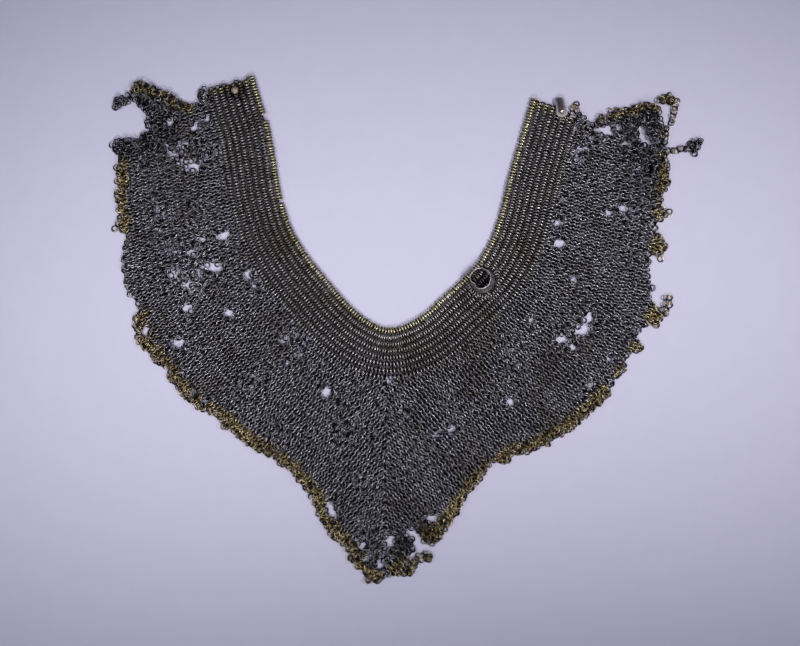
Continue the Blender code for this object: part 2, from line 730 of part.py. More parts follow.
def ring_wall(name, spare, low, high, collection):
    """Wall of the ring with some to spare on each side: a turned slant given its thickness, with the dent."""
    slope = (RING_DIAMETER - RING_FOOT_DIAMETER) / 2 / RING_HEIGHT
    foot = RING_FOOT_DIAMETER / 2 + spare
    profile = [(foot + slope * high, 0, high), (foot + slope * low, 0, low)]
    mesh = bpy.data.meshes.new(name)
    mesh.from_pydata(profile, [(0, 1)], [])
    ring = link_object(name, mesh, collection)
    screw = ring.modifiers.new("turn", "SCREW")
    screw.steps = RING_STEPS
    screw.render_steps = RING_STEPS
    screw.use_merge_vertices = True
    screw.merge_threshold = TURN_MERGE
    wall = ring.modifiers.new("wall", "SOLIDIFY")
    wall.thickness = RING_WALL + 2 * spare
    wall.offset = -1.0
    seen = ring.evaluated_get(bpy.context.evaluated_depsgraph_get())
    baked = bpy.data.meshes.new_from_object(seen)
    ring.modifiers.clear()
    ring.data = baked
    for vert in baked.vertices:
        angle = math.atan2(vert.co.y, vert.co.x) - RING_DENT_TURN
        near = math.exp(-((math.remainder(angle, math.tau) / RING_DENT_SPREAD) ** 2))
        share = 1 - RING_DENT * near * (vert.co.z / RING_HEIGHT) / math.hypot(vert.co.x, vert.co.y)
        vert.co.x *= share
        vert.co.y *= share
    baked.transform(ring_frame())
    return ring


def make_ring(metal, parts, cutters):
    """Ring that stands in the band. Gives the cutter of its groove, made from the same sizes."""
    ring = ring_wall("band_ring", 0.0, 0.0, RING_HEIGHT, parts)
    ring.data.materials.append(metal)
    ring.data.shade_smooth()
    ring.data.set_sharp_from_angle(angle=math.radians(40))
    groove = ring_wall("ring_groove", CLEARANCE, -CLEARANCE, RING_HEIGHT, cutters)
    groove.hide_render = True
    groove.display_type = "WIRE"
    return groove


def tab_frame():
    """Frame of the strap end at the band's end, its length slanting down the band."""
    share, out = TAB_PLACE
    here = neck_place(share, out * BAND_WIDTH)
    end = neck_place(1.0, out * BAND_WIDTH)
    ahead = (end - here) / np.linalg.norm(end - here)
    turn = Matrix.Rotation(math.atan2(ahead[1], ahead[0]) - math.pi / 2 + TAB_TURN, 4, "Z")
    return Matrix.Translation((end[0], end[1], 0.0)) @ turn


def tab_slip():
    """How far the slanting strap end runs past the band before all its width is clear of the band's end."""
    return CLEARANCE + TAB_WIDTH / 2 * math.tan(TAB_TURN)


def tab_foot():
    """Place of the strap end's lower tip along its length."""
    return tab_slip() + TAB_RETURN + TAB_FOLD_DIAMETER / 2 - TAB_LENGTH


def tab_outline():
    """Plan of the strap end before it is placed: narrow at the fold, wide and round at its lower end."""
    radius = TAB_WIDTH / 2
    top = tab_slip() + TAB_RETURN + TAB_FOLD_DIAMETER
    foot = tab_foot() + radius
    angles = np.linspace(0.0, -math.pi, TAB_STEPS)
    round_end = np.column_stack([radius * np.cos(angles), foot + radius * np.sin(angles)])
    return np.concatenate([round_end, [[-TAB_TOP_WIDTH / 2, top], [TAB_TOP_WIDTH / 2, top]]])


def tab_side():
    """Side of the strap end: a leaf on the band, rolled down and back just past the band's end."""
    seat = BAND_THICKNESS + CLEARANCE
    outer = TAB_FOLD_DIAMETER / 2
    inner = outer - TAB_THICKNESS
    bend = tab_slip() + TAB_RETURN
    middle = seat + TAB_THICKNESS - outer
    angles = np.linspace(math.pi / 2, -math.pi / 2, TAB_STEPS)
    outside = np.column_stack([bend + outer * np.cos(angles), middle + outer * np.sin(angles)])
    inside = np.column_stack([bend + inner * np.cos(angles), middle + inner * np.sin(angles)])[::-1]
    leaf_end = -TAB_LENGTH
    return np.concatenate([
        [[leaf_end, seat + TAB_THICKNESS]],
        outside,
        [[tab_slip(), middle - outer], [tab_slip(), middle - inner]],
        inside,
        [[leaf_end, seat]],
    ])


def make_tab(metal, rivet_metal, parts, cutters):
    """Strap end and its rivet. Gives the cutter of the rivet's bore, which goes through the band too."""
    # The side view is drawn in length and height, so it is stood up: x to y, y to z, z to x
    side = prism("strap_tab", tab_side(), -TAB_WIDTH, TAB_WIDTH)
    stand = Matrix(((0, 0, 1, 0), (1, 0, 0, 0), (0, 1, 0, 0), (0, 0, 0, 1)))
    bmesh.ops.transform(side, matrix=tab_frame() @ stand, verts=side.verts)
    tab = link_object("strap_tab", mesh_from(side, "strap_tab"), parts)
    plan = prism("tab_plan", tab_outline(), -CUT_MARGIN, BAND_THICKNESS + CUT_MARGIN)
    bmesh.ops.transform(plan, matrix=tab_frame(), verts=plan.verts)
    plan = cutter_from(plan, "tab_plan", cutters)
    apply_cuts(tab, [plan], "INTERSECT")
    at = tab_frame() @ Vector((0, tab_foot() + RIVET_FROM_FOOT, 0))
    seat = BAND_THICKNESS + TAB_THICKNESS + CLEARANCE * 2
    bore = bore_cutter("rivet_bore", at, RIVET_SHANK + 2 * CLEARANCE, seat, cutters)
    apply_cuts(tab, [bore])
    tab.data.materials.append(metal)
    headed_pin(
        "tab_rivet", at, seat, RIVET_DIAMETER, RIVET_HEIGHT, RIVET_SHANK, seat - CLEARANCE, rivet_metal, parts
    )
    return bore


def make_stud(metal, parts, cutters):
    """Stud through the left end of the band. Gives the cutter of its bore."""
    share, out = STUD_PLACE
    at = neck_place(share, out * BAND_WIDTH)
    seat = BAND_THICKNESS + CLEARANCE
    headed_pin("collar_stud", at, seat, STUD_DIAMETER, STUD_HEIGHT, STUD_SHANK, seat - CLEARANCE, metal, parts)
    return bore_cutter("stud_bore", at, STUD_SHANK + 2 * CLEARANCE, BAND_THICKNESS, cutters)


def make_metals():
    """One material for each metal."""
    metals = {}
    for name, (colour, roughness, metallic) in METALS.items():
        metal = bpy.data.materials.new(name)
        metal.use_nodes = True
        shader = metal.node_tree.nodes["Principled BSDF"]
        shader.inputs["Base Color"].default_value = (*colour, 1.0)
        shader.inputs["Roughness"].default_value = roughness
        shader.inputs["Metallic"].default_value = metallic
        metals[name] = metal
    return metals


def make_neck(metals, parts):
    """Neck band, its brass edging and the brass rows at its two ends."""
    length = lengths_along(neck_edge())[-1]
    end = END_EDGING_WIDTH / length
    gap = CLEARANCE / length
    band = sheet_of_mail(
        "neck_band", neck_strip(EDGING_WIDTH + CLEARANCE, BAND_WIDTH, end + gap, 1 - end - gap, STRIP_STEPS),
        BAND_THICKNESS, metals["steel"], parts, draped=False,
    )
    edging = sheet_of_mail(
        "neck_edging", neck_strip(0.0, EDGING_WIDTH, end + gap, 1 - end - gap, STRIP_STEPS),
        BAND_THICKNESS, metals["brass"], parts, draped=False,
    )
    left, right = [
        sheet_of_mail(
            name, neck_strip(0.0, BAND_WIDTH, first, last, END_STEPS), BAND_THICKNESS, metals["brass"], parts,
            draped=False,
        )
        for name, first, last in (("band_end_left", 0.0, end), ("band_end_right", 1 - end, 1.0))
    ]
    return band, edging, left, right


def main():
    """Builds the collar and centres it over the origin."""
    for ob in list(bpy.data.objects):
        bpy.data.objects.remove(ob)
    parts = bpy.data.collections.new("mail_collar")
    cutters = bpy.data.collections.new("cutters")
    for collection in (parts, cutters):
        bpy.context.scene.collection.children.link(collection)
    metals = make_metals()

    band, edging, end_left, end_right = make_neck(metals, parts)
    cape = sheet_of_mail("cape", cape_outline(), CAPE_THICKNESS, metals["steel"], parts)
    hems = [
        sheet_of_mail(name, hem_outline(name), CAPE_THICKNESS, metals["brass"], parts)
        for name, _, _ in CAPE_EDGE if name
    ]
    stud_bore = make_stud(metals["copper"], parts, cutters)
    rivet_bore = make_tab(metals["tab_steel"], metals["bright_steel"], parts, cutters)
    groove = make_ring(metals["ring_steel"], parts, cutters)

    rooms = {}
    for name, metal, carrier, rows in STRANDS:
        route = strand_route(carrier, rows)
        strand_of_links(name, route, metals[metal], parts)
        rooms[name] = strand_room("room_" + name, route, cutters)
    holes = hole_cutter(cutters)
    for sheet in [cape] + hems:
        apply_cuts(sheet, [holes, *rooms.values()])
    apply_cuts(edging, [notch_cutter(cutters), groove])
    apply_cuts(band, [stud_bore, rivet_bore, groove, rooms["strand_corner"]])
    apply_cuts(end_left, [stud_bore])
    apply_cuts(end_right, [rivet_bore, rooms["strand_corner"]])

    # Everything hangs from one empty, which brings the middle of the whole over the origin
    centre = bpy.data.objects.new("collar_centre", None)
    parts.objects.link(centre)
    bpy.context.view_layer.update()
    seen = bpy.context.evaluated_depsgraph_get()
    pieces = [ob for ob in parts.objects if ob.type == "MESH"]
    corners = [ob.matrix_world @ Vector(c) for ob in pieces for c in ob.evaluated_get(seen).bound_box]
    low = [min(c[k] for c in corners) for k in range(3)]
    high = [max(c[k] for c in corners) for k in range(3)]
    for ob in pieces:
        ob.parent = centre
    centre.location = (-(low[0] + high[0]) / 2, -(low[1] + high[1]) / 2, -low[2])


main()
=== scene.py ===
"""Open mail collar lying flat on a pale floor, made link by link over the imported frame."""

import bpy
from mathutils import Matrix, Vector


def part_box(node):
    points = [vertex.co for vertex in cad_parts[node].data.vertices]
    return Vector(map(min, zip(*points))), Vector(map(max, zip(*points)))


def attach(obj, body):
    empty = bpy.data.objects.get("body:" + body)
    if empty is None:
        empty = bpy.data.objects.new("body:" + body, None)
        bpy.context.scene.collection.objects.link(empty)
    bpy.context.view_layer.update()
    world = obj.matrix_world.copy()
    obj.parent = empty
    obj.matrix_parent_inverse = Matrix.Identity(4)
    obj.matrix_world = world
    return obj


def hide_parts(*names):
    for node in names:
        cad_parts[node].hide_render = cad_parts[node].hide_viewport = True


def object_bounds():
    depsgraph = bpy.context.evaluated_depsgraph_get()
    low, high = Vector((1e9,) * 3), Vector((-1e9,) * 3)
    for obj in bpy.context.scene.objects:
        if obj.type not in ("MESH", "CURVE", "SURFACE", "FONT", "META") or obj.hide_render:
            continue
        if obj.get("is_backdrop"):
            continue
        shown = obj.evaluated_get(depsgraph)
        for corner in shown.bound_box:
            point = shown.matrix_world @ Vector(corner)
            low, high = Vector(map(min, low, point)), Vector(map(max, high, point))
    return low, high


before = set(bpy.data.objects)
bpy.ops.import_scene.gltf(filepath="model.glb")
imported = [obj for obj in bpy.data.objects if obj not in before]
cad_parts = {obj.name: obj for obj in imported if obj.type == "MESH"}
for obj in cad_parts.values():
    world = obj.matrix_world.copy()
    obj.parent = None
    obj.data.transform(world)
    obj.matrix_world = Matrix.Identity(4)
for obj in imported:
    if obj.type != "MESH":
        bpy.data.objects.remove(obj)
cad_box = [list(corner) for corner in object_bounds()]

import math

import bmesh
import bpy
import numpy as np
from mathutils import Matrix, Vector

# Sizes of the collar in plan, in metres
COLLAR_WIDTH = 0.480
COLLAR_LENGTH = 0.408
NECK_WIDTH = 0.221
NECK_DEPTH = 0.2024
BAND_WIDTH = 0.0400
BAND_THICKNESS = 0.0045
CAPE_THICKNESS = 0.0035

# Links: diameter over all and wire
BAND_LINK = (0.0056, 0.00124)
CAPE_LINK = (0.0058, 0.00118)
EDGING_LINK = (0.0058, 0.00125)
STRAND_LINK = (0.0056, 0.00100)

# Spacing of the weave: from the neck edge to the band's first row, between rows, and along a row
BAND_FIRST = 0.0054
BAND_ROWS = 0.00263
BAND_PITCH = 0.00236
CAPE_ROWS = 0.00240
CAPE_PITCH = 0.00272
BAND_STAGGER = 0.5
CAPE_STAGGER = 0.15
ROWS_IN_STEP = 6
CAPE_REACH = 0.212

# The cape's rows are straight down to its middle line, from these lengths before and after the neck's point
MIDDLE_ACROSS = -0.0064
POINT_LEFT = 0.024
POINT_RIGHT = 0.034
POINT_REACH = 0.200

# The edging and the strands
EDGING_OUT = 0.0029
EDGING_PITCH = 0.00232
STRAND_PITCH = 0.0029

# How far the links lean out of the plane, in the rows that stand proud and in those between them
BAND_LEAN = (math.radians(66), math.radians(40))
CAPE_LEAN = (math.radians(48), math.radians(42))
EDGING_LEAN = math.radians(68)
STRAND_LEAN = math.radians(40)

# How much higher the proud rows lie, and what share of light the rows between them are painted with: painted
# shade on those lower rows
BAND_STEP = 0.0009
CAPE_STEP = 0.0003
BAND_SHADED_ROW_LIGHT = 0.60
CAPE_SHADED_ROW_LIGHT = 0.85

# Fittings
STUD_PLACE = (0.017, 0.46)
STUD_DIAMETER = 0.0062
STUD_HEIGHT = 0.0019
RING_PLACE = (0.686, 0.33)
RING_DIAMETER = 0.0176
RING_FOOT_DIAMETER = 0.0198
RING_HEIGHT = 0.0112
RING_WALL = 0.0009
RING_SINK = 0.0026
RING_LEAN = math.radians(15)
RING_TURN = math.radians(-4)
RING_DENT = 0.0022
RING_DENT_TURN = math.radians(-90)
RING_BURIED = math.radians(225)
TAB_PLACE = (0.979, 0.58)
TAB_TURN = math.radians(26)
TAB_LENGTH = 0.0158
TAB_ASIDE = (0.0010, 0.0014)
TAB_WIDTH = 0.0090
TAB_TOP_WIDTH = 0.0054
TAB_FOLD_DIAMETER = 0.0032
TAB_SLIP = 0.0023
TAB_RETURN = 0.0012
TAB_SEAT = 0.0048
LEAF_THICKNESS = 0.0005
RIVET_DIAMETER = 0.0028
RIVET_HEIGHT = 0.0009
RIVET_SEAT = 0.0061
RIVET_FROM_FOOT = 0.0048

# Size of one cell of the plan map, and how far the neck line is carried on past its ends
CELL = 0.0004
RUN_ON = 0.095

# A link stays where enough points round it, at the near reach, lie on mail; the wide one tells the edges
COVER_REACH = 0.0026
COVER_WIDE = 0.0046
COVER_LEAST = 0.80

# How far the band's links keep clear of the ring's wall, inside and outside, how far out the row round its
# foot lies, and how high a second layer of links lies on the first
RING_CLEAR_IN = 0.0028
RING_CLEAR_OUT = 0.0012
ROUND_RING = 0.0030
SECOND_LAYER = 0.0019

# The cape's slow drift out of its even rows
DRIFT_LENGTH = 0.050
DRIFT_SIZE = 0.0011

# The floor and the beams of the lights
FLOOR_SIZE = 6.0
LIGHT_SPREAD = math.radians(30)

# Inner edge of the neck: across as a share of half NECK_WIDTH, down as a share of NECK_DEPTH
NECK_EDGE = (
    # across, down
    (-1.000, 0.000),
    (-0.949, 0.099),
    (-0.891, 0.198),
    (-0.855, 0.296),
    (-0.797, 0.482),
    (-0.725, 0.605),
    (-0.594, 0.723),
    (-0.464, 0.810),
    (-0.326, 0.897),
    (-0.181, 0.964),
    (-0.040, 0.998),
    (0.130, 0.972),
    (0.239, 0.933),
    (0.355, 0.874),
    (0.478, 0.814),
    (0.600, 0.745),
    (0.696, 0.655),
    (0.775, 0.534),
    (0.826, 0.415),
    (0.899, 0.276),
    (1.000, 0.091),
)

# Worn places where the weave has opened: the place as shares of COLLAR_WIDTH and COLLAR_LENGTH,
# the reach in links and the share of links gone
OPENED = (
    # across, down, reach, gone
    (-0.350, 0.143, 2.2, 0.45),
    (-0.373, 0.161, 1.8, 0.38),
    (-0.295, 0.147, 1.6, 0.38),
    (-0.393, 0.245, 1.6, 0.30),
    (-0.385, 0.276, 1.6, 0.30),
    (-0.330, 0.267, 1.8, 0.30),
    (-0.372, 0.333, 2.0, 0.30),
    (-0.322, 0.335, 2.0, 0.30),
    (-0.328, 0.404, 2.4, 0.38),
    (-0.345, 0.425, 2.0, 0.38),
    (-0.160, 0.516, 2.2, 0.33),
    (-0.232, 0.596, 1.8, 0.27),
    (-0.062, 0.667, 2.2, 0.30),
    (-0.090, 0.700, 2.0, 0.30),
    (0.013, 0.659, 1.8, 0.22),
    (-0.045, 0.796, 1.6, 0.18),
    (-0.183, 0.692, 1.6, 0.18),
    (0.330, 0.108, 2.4, 0.38),
    (0.408, 0.280, 2.2, 0.33),
    (0.300, 0.500, 2.8, 0.30),
    (0.190, 0.600, 1.8, 0.22),
    (0.330, 0.610, 1.6, 0.18),
    (-0.035, 0.930, 3.0, 0.30),
    (0.417, 0.112, 0.9, 0.95),
    (0.422, 0.124, 0.9, 0.95),
    (0.427, 0.135, 0.8, 0.90),
    (0.405, 0.182, 0.8, 0.90),
    (0.380, 0.100, 0.7, 0.90),
    (0.387, 0.133, 0.9, 0.70),
    (0.308, 0.147, 0.8, 0.45),
    (0.305, 0.171, 0.8, 0.40),
)

# Places where the mail lies bunched on itself: place as above, reach in links, share of links doubled
BUNCHED = (
    # across, down, reach, doubled
    (0.430, 0.075, 3.0, 0.45),
    (0.436, 0.125, 3.4, 0.50),
    (0.442, 0.180, 3.0, 0.40),
    (-0.430, 0.052, 2.4, 0.45),
    (-0.390, 0.066, 3.0, 0.45),
    (-0.405, 0.115, 2.6, 0.30),
    (0.030, 0.925, 3.0, 0.30),
    (-0.455, 0.155, 2.0, 0.35),
)

# Single links that hang loose at an edge, by metal: place as above and lean in degrees
EDGE_LOOPS = {
    "steel": (
        # across, down, lean
        (-0.408, 0.100, 10), (-0.415, 0.117, 16), (-0.468, 0.138, 12), (-0.459, 0.151, 8),
        (-0.381, 0.097, 18), (-0.361, 0.096, 14), (-0.324, 0.115, 12), (-0.311, 0.098, 20),
        (-0.310, 0.374, 10), (-0.292, 0.371, 14), (-0.370, 0.394, 12), (-0.011, 0.903, 12),
        (0.004, 0.915, 10), (0.022, 0.902, 16), (0.033, 0.930, 10), (0.032, 0.910, 20),
        (0.052, 0.914, 12), (0.065, 0.919, 10), (0.435, 0.281, 12), (0.443, 0.243, 14),
        (0.426, 0.367, 10), (0.432, 0.418, 12), (0.431, 0.450, 10), (-0.265, 0.024, 14),
        (-0.245, 0.016, 12),
    ),
    "brass": (
        # across, down, lean
        (-0.461, 0.182, 8), (-0.460, 0.209, 10), (-0.464, 0.302, 12), (-0.451, 0.304, 14),
        (0.078, 0.906, 12), (-0.001, 0.971, 14), (0.461, 0.269, 10), (0.446, 0.361, 14),
        (0.306, 0.058, 16),
    ),
}

# Tufts of brass links left inside the edge: place as above, reach in links
TUFTS = (
    # across, down, reach
    (0.386, 0.584, 1.5),
    (0.410, 0.545, 1.5),
    (0.443, 0.476, 2.0),
    (0.444, 0.339, 1.5),
    (0.448, 0.272, 1.4),
    (0.458, 0.112, 1.2),
    (0.020, 0.973, 2.2),
)

# Loose strands: carrier, the share of the links that is brass, the shares between which they lie in pairs,
# and the route as shares of the collar's or the band's sizes
STRANDS = {
    "strand_flap_left": ("cape", 0.0, 0.0, 1.0, (
        (-0.434, 0.040), (-0.444, 0.047), (-0.454, 0.054), (-0.463, 0.062), (-0.462, 0.068),
    )),
    "strand_side_right": ("cape", 0.36, 0.60, 1.0, (
        (0.460, 0.148), (0.471, 0.150), (0.481, 0.144), (0.491, 0.147), (0.501, 0.143), (0.507, 0.129),
    )),
    "strand_flap_right": ("cape", 1.0, 0.1, 0.5, (
        (0.443, 0.052), (0.453, 0.045), (0.463, 0.046), (0.470, 0.057), (0.468, 0.070),
        (0.466, 0.084), (0.464, 0.096),
    )),
    "strand_hook": ("cape", 1.0, 0.0, 1.0, (
        (0.448, 0.470), (0.455, 0.459), (0.458, 0.446), (0.457, 0.434),
    )),
    "strand_point": ("cape", 1.0, 0.0, 1.0, (
        (0.033, 0.962), (0.036, 0.952), (0.047, 0.945), (0.058, 0.943), (0.063, 0.950),
    )),
    "strand_corner": ("band_end", 1.0, 0.2, 1.0, (
        (0.878, -0.056), (0.908, 0.050), (0.920, 0.146),
    )),
}

# Places past the edge of the solids where the mail reaches a little further: place as above, reach in
# links and metal
REACHED = (
    # across, down, reach, metal
    (-0.312, 0.036, 1.0, "steel"),
    (-0.308, 0.050, 1.0, "steel"),
    (-0.304, 0.066, 1.0, "steel"),
    (0.308, 0.088, 0.9, "steel"),
    (0.315, 0.100, 0.9, "steel"),
    (0.324, 0.101, 0.8, "steel"),
)

# Clumps of links at the ends of the strands: place as above, reach in metres, number and metal
CLUMPS = (
    # across, down, reach, number, metal
    (0.499, 0.142, 0.0046, 10, "steel"),
    (0.508, 0.132, 0.0020, 3, "steel"),
    (-0.457, 0.058, 0.0036, 7, "steel"),
    (-0.446, 0.048, 0.0026, 4, "steel"),
    (0.464, 0.050, 0.0034, 6, "brass"),
    (0.450, 0.047, 0.0024, 3, "brass"),
    (0.058, 0.944, 0.0028, 6, "brass"),
    (0.036, 0.958, 0.0024, 4, "brass"),
)

# The mail's CAD nodes, in the order of their numbers on the plan map
STEEL_NODES = ("neck_band", "cape")
BRASS_NODES = (
    "neck_edging", "band_end_left", "band_end_right", "hem_flap_left", "hem_side_left",
    "hem_lower_left", "hem_lower_right", "hem_side_right", "hem_flap_right",
)
MAIL_NODES = STEEL_NODES + BRASS_NODES
BAND_NODES = ("neck_band", "neck_edging", "band_end_left", "band_end_right")

rng = np.random.default_rng(1609)


# Lines and places in plan

def lengths_along(line):
    """Length of a line up to each of its points: the running sum of its steps."""
    return np.concatenate([[0.0], np.cumsum(np.linalg.norm(np.diff(line, axis=0), axis=1))])


def rows_at(values, along, at):
    """Rows of values, given at lengths along a line, straight between them at other lengths."""
    return np.column_stack([np.interp(at, along, column) for column in values.T])


def line_at(line, at):
    """Points of a line at lengths along it, straight between its points."""
    return rows_at(line, lengths_along(line), at)


def directions(line):
    """Unit directions of a line at its points: central differences over their lengths."""
    ahead = np.gradient(line, axis=0)
    return ahead / np.linalg.norm(ahead, axis=1)[:, None]


def smooth_line(places, count):
    """Evenly spaced points on the cubic line through places, whose slopes are central differences."""
    places = np.asarray(places, float)
    along = lengths_along(places)
    slope = np.gradient(places, along, axis=0)
    fine = np.linspace(0.0, along[-1], count * 8)
    left = np.clip(np.searchsorted(along, fine, side="right") - 1, 0, len(along) - 2)
    step = (along[left + 1] - along[left])[:, None]
    u = (fine - along[left])[:, None] / step
    line = (
        (1 + 2 * u) * (1 - u) ** 2 * places[left]
        + u * (1 - u) ** 2 * step * slope[left]
        + u**2 * (3 - 2 * u) * places[left + 1]
        + u**2 * (u - 1) * step * slope[left + 1]
    )
    return line_at(line, np.linspace(0.0, lengths_along(line)[-1], count))


def right_hand(line):
    """Unit normals on the right hand of a line, which is the mail's side of the neck edge."""
    ahead = directions(line)
    return np.column_stack([ahead[:, 1], -ahead[:, 0]])


def calmed(values, reach, step):
    """Rows of values averaged along the line with a bell of that reach, then made unit length."""
    half = int(3 * reach / step)
    bell = np.exp(-((np.arange(-half, half + 1) * step / reach) ** 2) / 2)
    wide = np.pad(values, ((half, half), (0, 0)), mode="edge")
    mean = np.column_stack([np.convolve(wide[:, k], bell / bell.sum(), mode="valid") for k in (0, 1)])
    return mean / np.linalg.norm(mean, axis=1)[:, None]


neck = smooth_line(np.array(NECK_EDGE) * [NECK_WIDTH / 2, -NECK_DEPTH], 900)
neck_length = lengths_along(neck)[-1]


def neck_place(share, out):
    """Plan point at a share of the neck edge's length, that far out from it."""
    at = [share * neck_length]
    return (line_at(neck, at) + out * rows_at(right_hand(neck), lengths_along(neck), at))[0]


# The stud's CAD node tells where the plan lies in the frame
stud_low, stud_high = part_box("collar_stud")
stud_middle = (np.array(stud_low) + np.array(stud_high))[:2] / 2
plan_shift = stud_middle - neck_place(STUD_PLACE[0], STUD_PLACE[1] * BAND_WIDTH)


def plan_place(across, down):
    """Point of the frame at shares of the collar's width and length."""
    return np.array([across * COLLAR_WIDTH, -down * COLLAR_LENGTH]) + plan_shift


# Map of the mail in plan, from the upward faces of its CAD nodes

def map_mail():
    """Grid of node numbers and top heights, a cell of it being in a triangle where its three edge
    products agree in sign and its height the plane's there."""
    low, high = np.array(cad_box[0][:2]) - 0.004, np.array(cad_box[1][:2]) + 0.004
    shape = np.ceil((high - low) / CELL).astype(int)
    owner = np.full(shape, -1, np.int8)
    top = np.zeros(shape)
    for number, name in enumerate(MAIL_NODES):
        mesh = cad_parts[name].data
        mesh.calc_loop_triangles()
        co = np.empty(len(mesh.vertices) * 3)
        mesh.vertices.foreach_get("co", co)
        tri = np.empty(len(mesh.loop_triangles) * 3, int)
        mesh.loop_triangles.foreach_get("vertices", tri)
        corners = co.reshape(-1, 3)[tri.reshape(-1, 3)]
        normal = np.cross(corners[:, 1] - corners[:, 0], corners[:, 2] - corners[:, 0])
        length = np.linalg.norm(normal, axis=1)
        upward = (length > 0) & (normal[:, 2] > 0.5 * length)
        for (a, b, c), n in zip(corners[upward], normal[upward]):
            first = np.floor((np.minimum(np.minimum(a, b), c)[:2] - low) / CELL).astype(int)
            last = np.ceil((np.maximum(np.maximum(a, b), c)[:2] - low) / CELL).astype(int) + 1
            x = low[0] + (np.arange(first[0], last[0]) + 0.5)[:, None] * CELL
            y = low[1] + (np.arange(first[1], last[1]) + 0.5)[None] * CELL
            inside = np.ones((x.shape[0], y.shape[1]), bool)
            for p, q in ((a, b), (b, c), (c, a)):
                inside &= (q[0] - p[0]) * (y - p[1]) - (q[1] - p[1]) * (x - p[0]) >= 0
            height = a[2] - ((x - a[0]) * n[0] + (y - a[1]) * n[1]) / n[2]
            part = (slice(first[0], last[0]), slice(first[1], last[1]))
            owner[part] = np.where(inside, number, owner[part])
            top[part] = np.where(inside, height, top[part])
    for _ in range(2):
        for axis, way in ((0, 1), (0, -1), (1, 1), (1, -1)):
            beside, beyond = np.roll(owner, way, axis), np.roll(owner, -way, axis)
            gap = (owner < 0) & (beside >= 0) & ((beyond >= 0) | (np.roll(beyond, -way, axis) >= 0))
            top = np.where(gap, np.roll(top, way, axis), top)
            owner = np.where(gap, beside, owner)
    return low, owner, top


map_low, map_owner, map_top = map_mail()


def cells_at(places):
    """Map cells of plan points, held inside the map."""
    cell = np.floor((places - map_low) / CELL).astype(int)
    return np.clip(cell[:, 0], 0, map_owner.shape[0] - 1), np.clip(cell[:, 1], 0, map_owner.shape[1] - 1)


def owner_at(places):
    """Node numbers of plan points, -1 where there is no mail."""
    return map_owner[cells_at(places)]


def lift_at(places):
    """Height of the mail's underside: the map's top less the thickness of what lies there."""
    owner = owner_at(places)
    thick = np.where(belongs(owner, BAND_NODES), BAND_THICKNESS, CAPE_THICKNESS)
    return np.where(owner >= 0, np.maximum(map_top[cells_at(places)] - thick, 0.0), 0.0)


def belongs(owner, names):
    """Whether each node number is that of one of the named nodes."""
    return np.isin(owner, [MAIL_NODES.index(name) for name in names])


def cover_at(places, reach):
    """Share of eighteen points on two rings round each place that lie on mail."""
    angles = np.arange(12) * math.tau / 12
    points = [(reach * math.cos(a), reach * math.sin(a)) for a in angles]
    points += [(reach / 2 * math.cos(a), reach / 2 * math.sin(a)) for a in angles[::2]]
    return np.mean([owner_at(places + point) >= 0 for point in points], axis=0)


def rumple(places, length, seed):
    """Smooth field from -1 to 1: the mean of six sine waves in seeded directions, near that length."""
    waves = np.random.default_rng(seed)
    turn = waves.uniform(0, math.tau, 6)
    size = length * waves.uniform(0.7, 1.5, 6)
    phase = waves.uniform(0, math.tau, 6)
    along = places[:, :1] * np.cos(turn) + places[:, 1:2] * np.sin(turn)
    return np.sin(along * math.tau / size + phase).mean(axis=1) * 1.8


# The weave

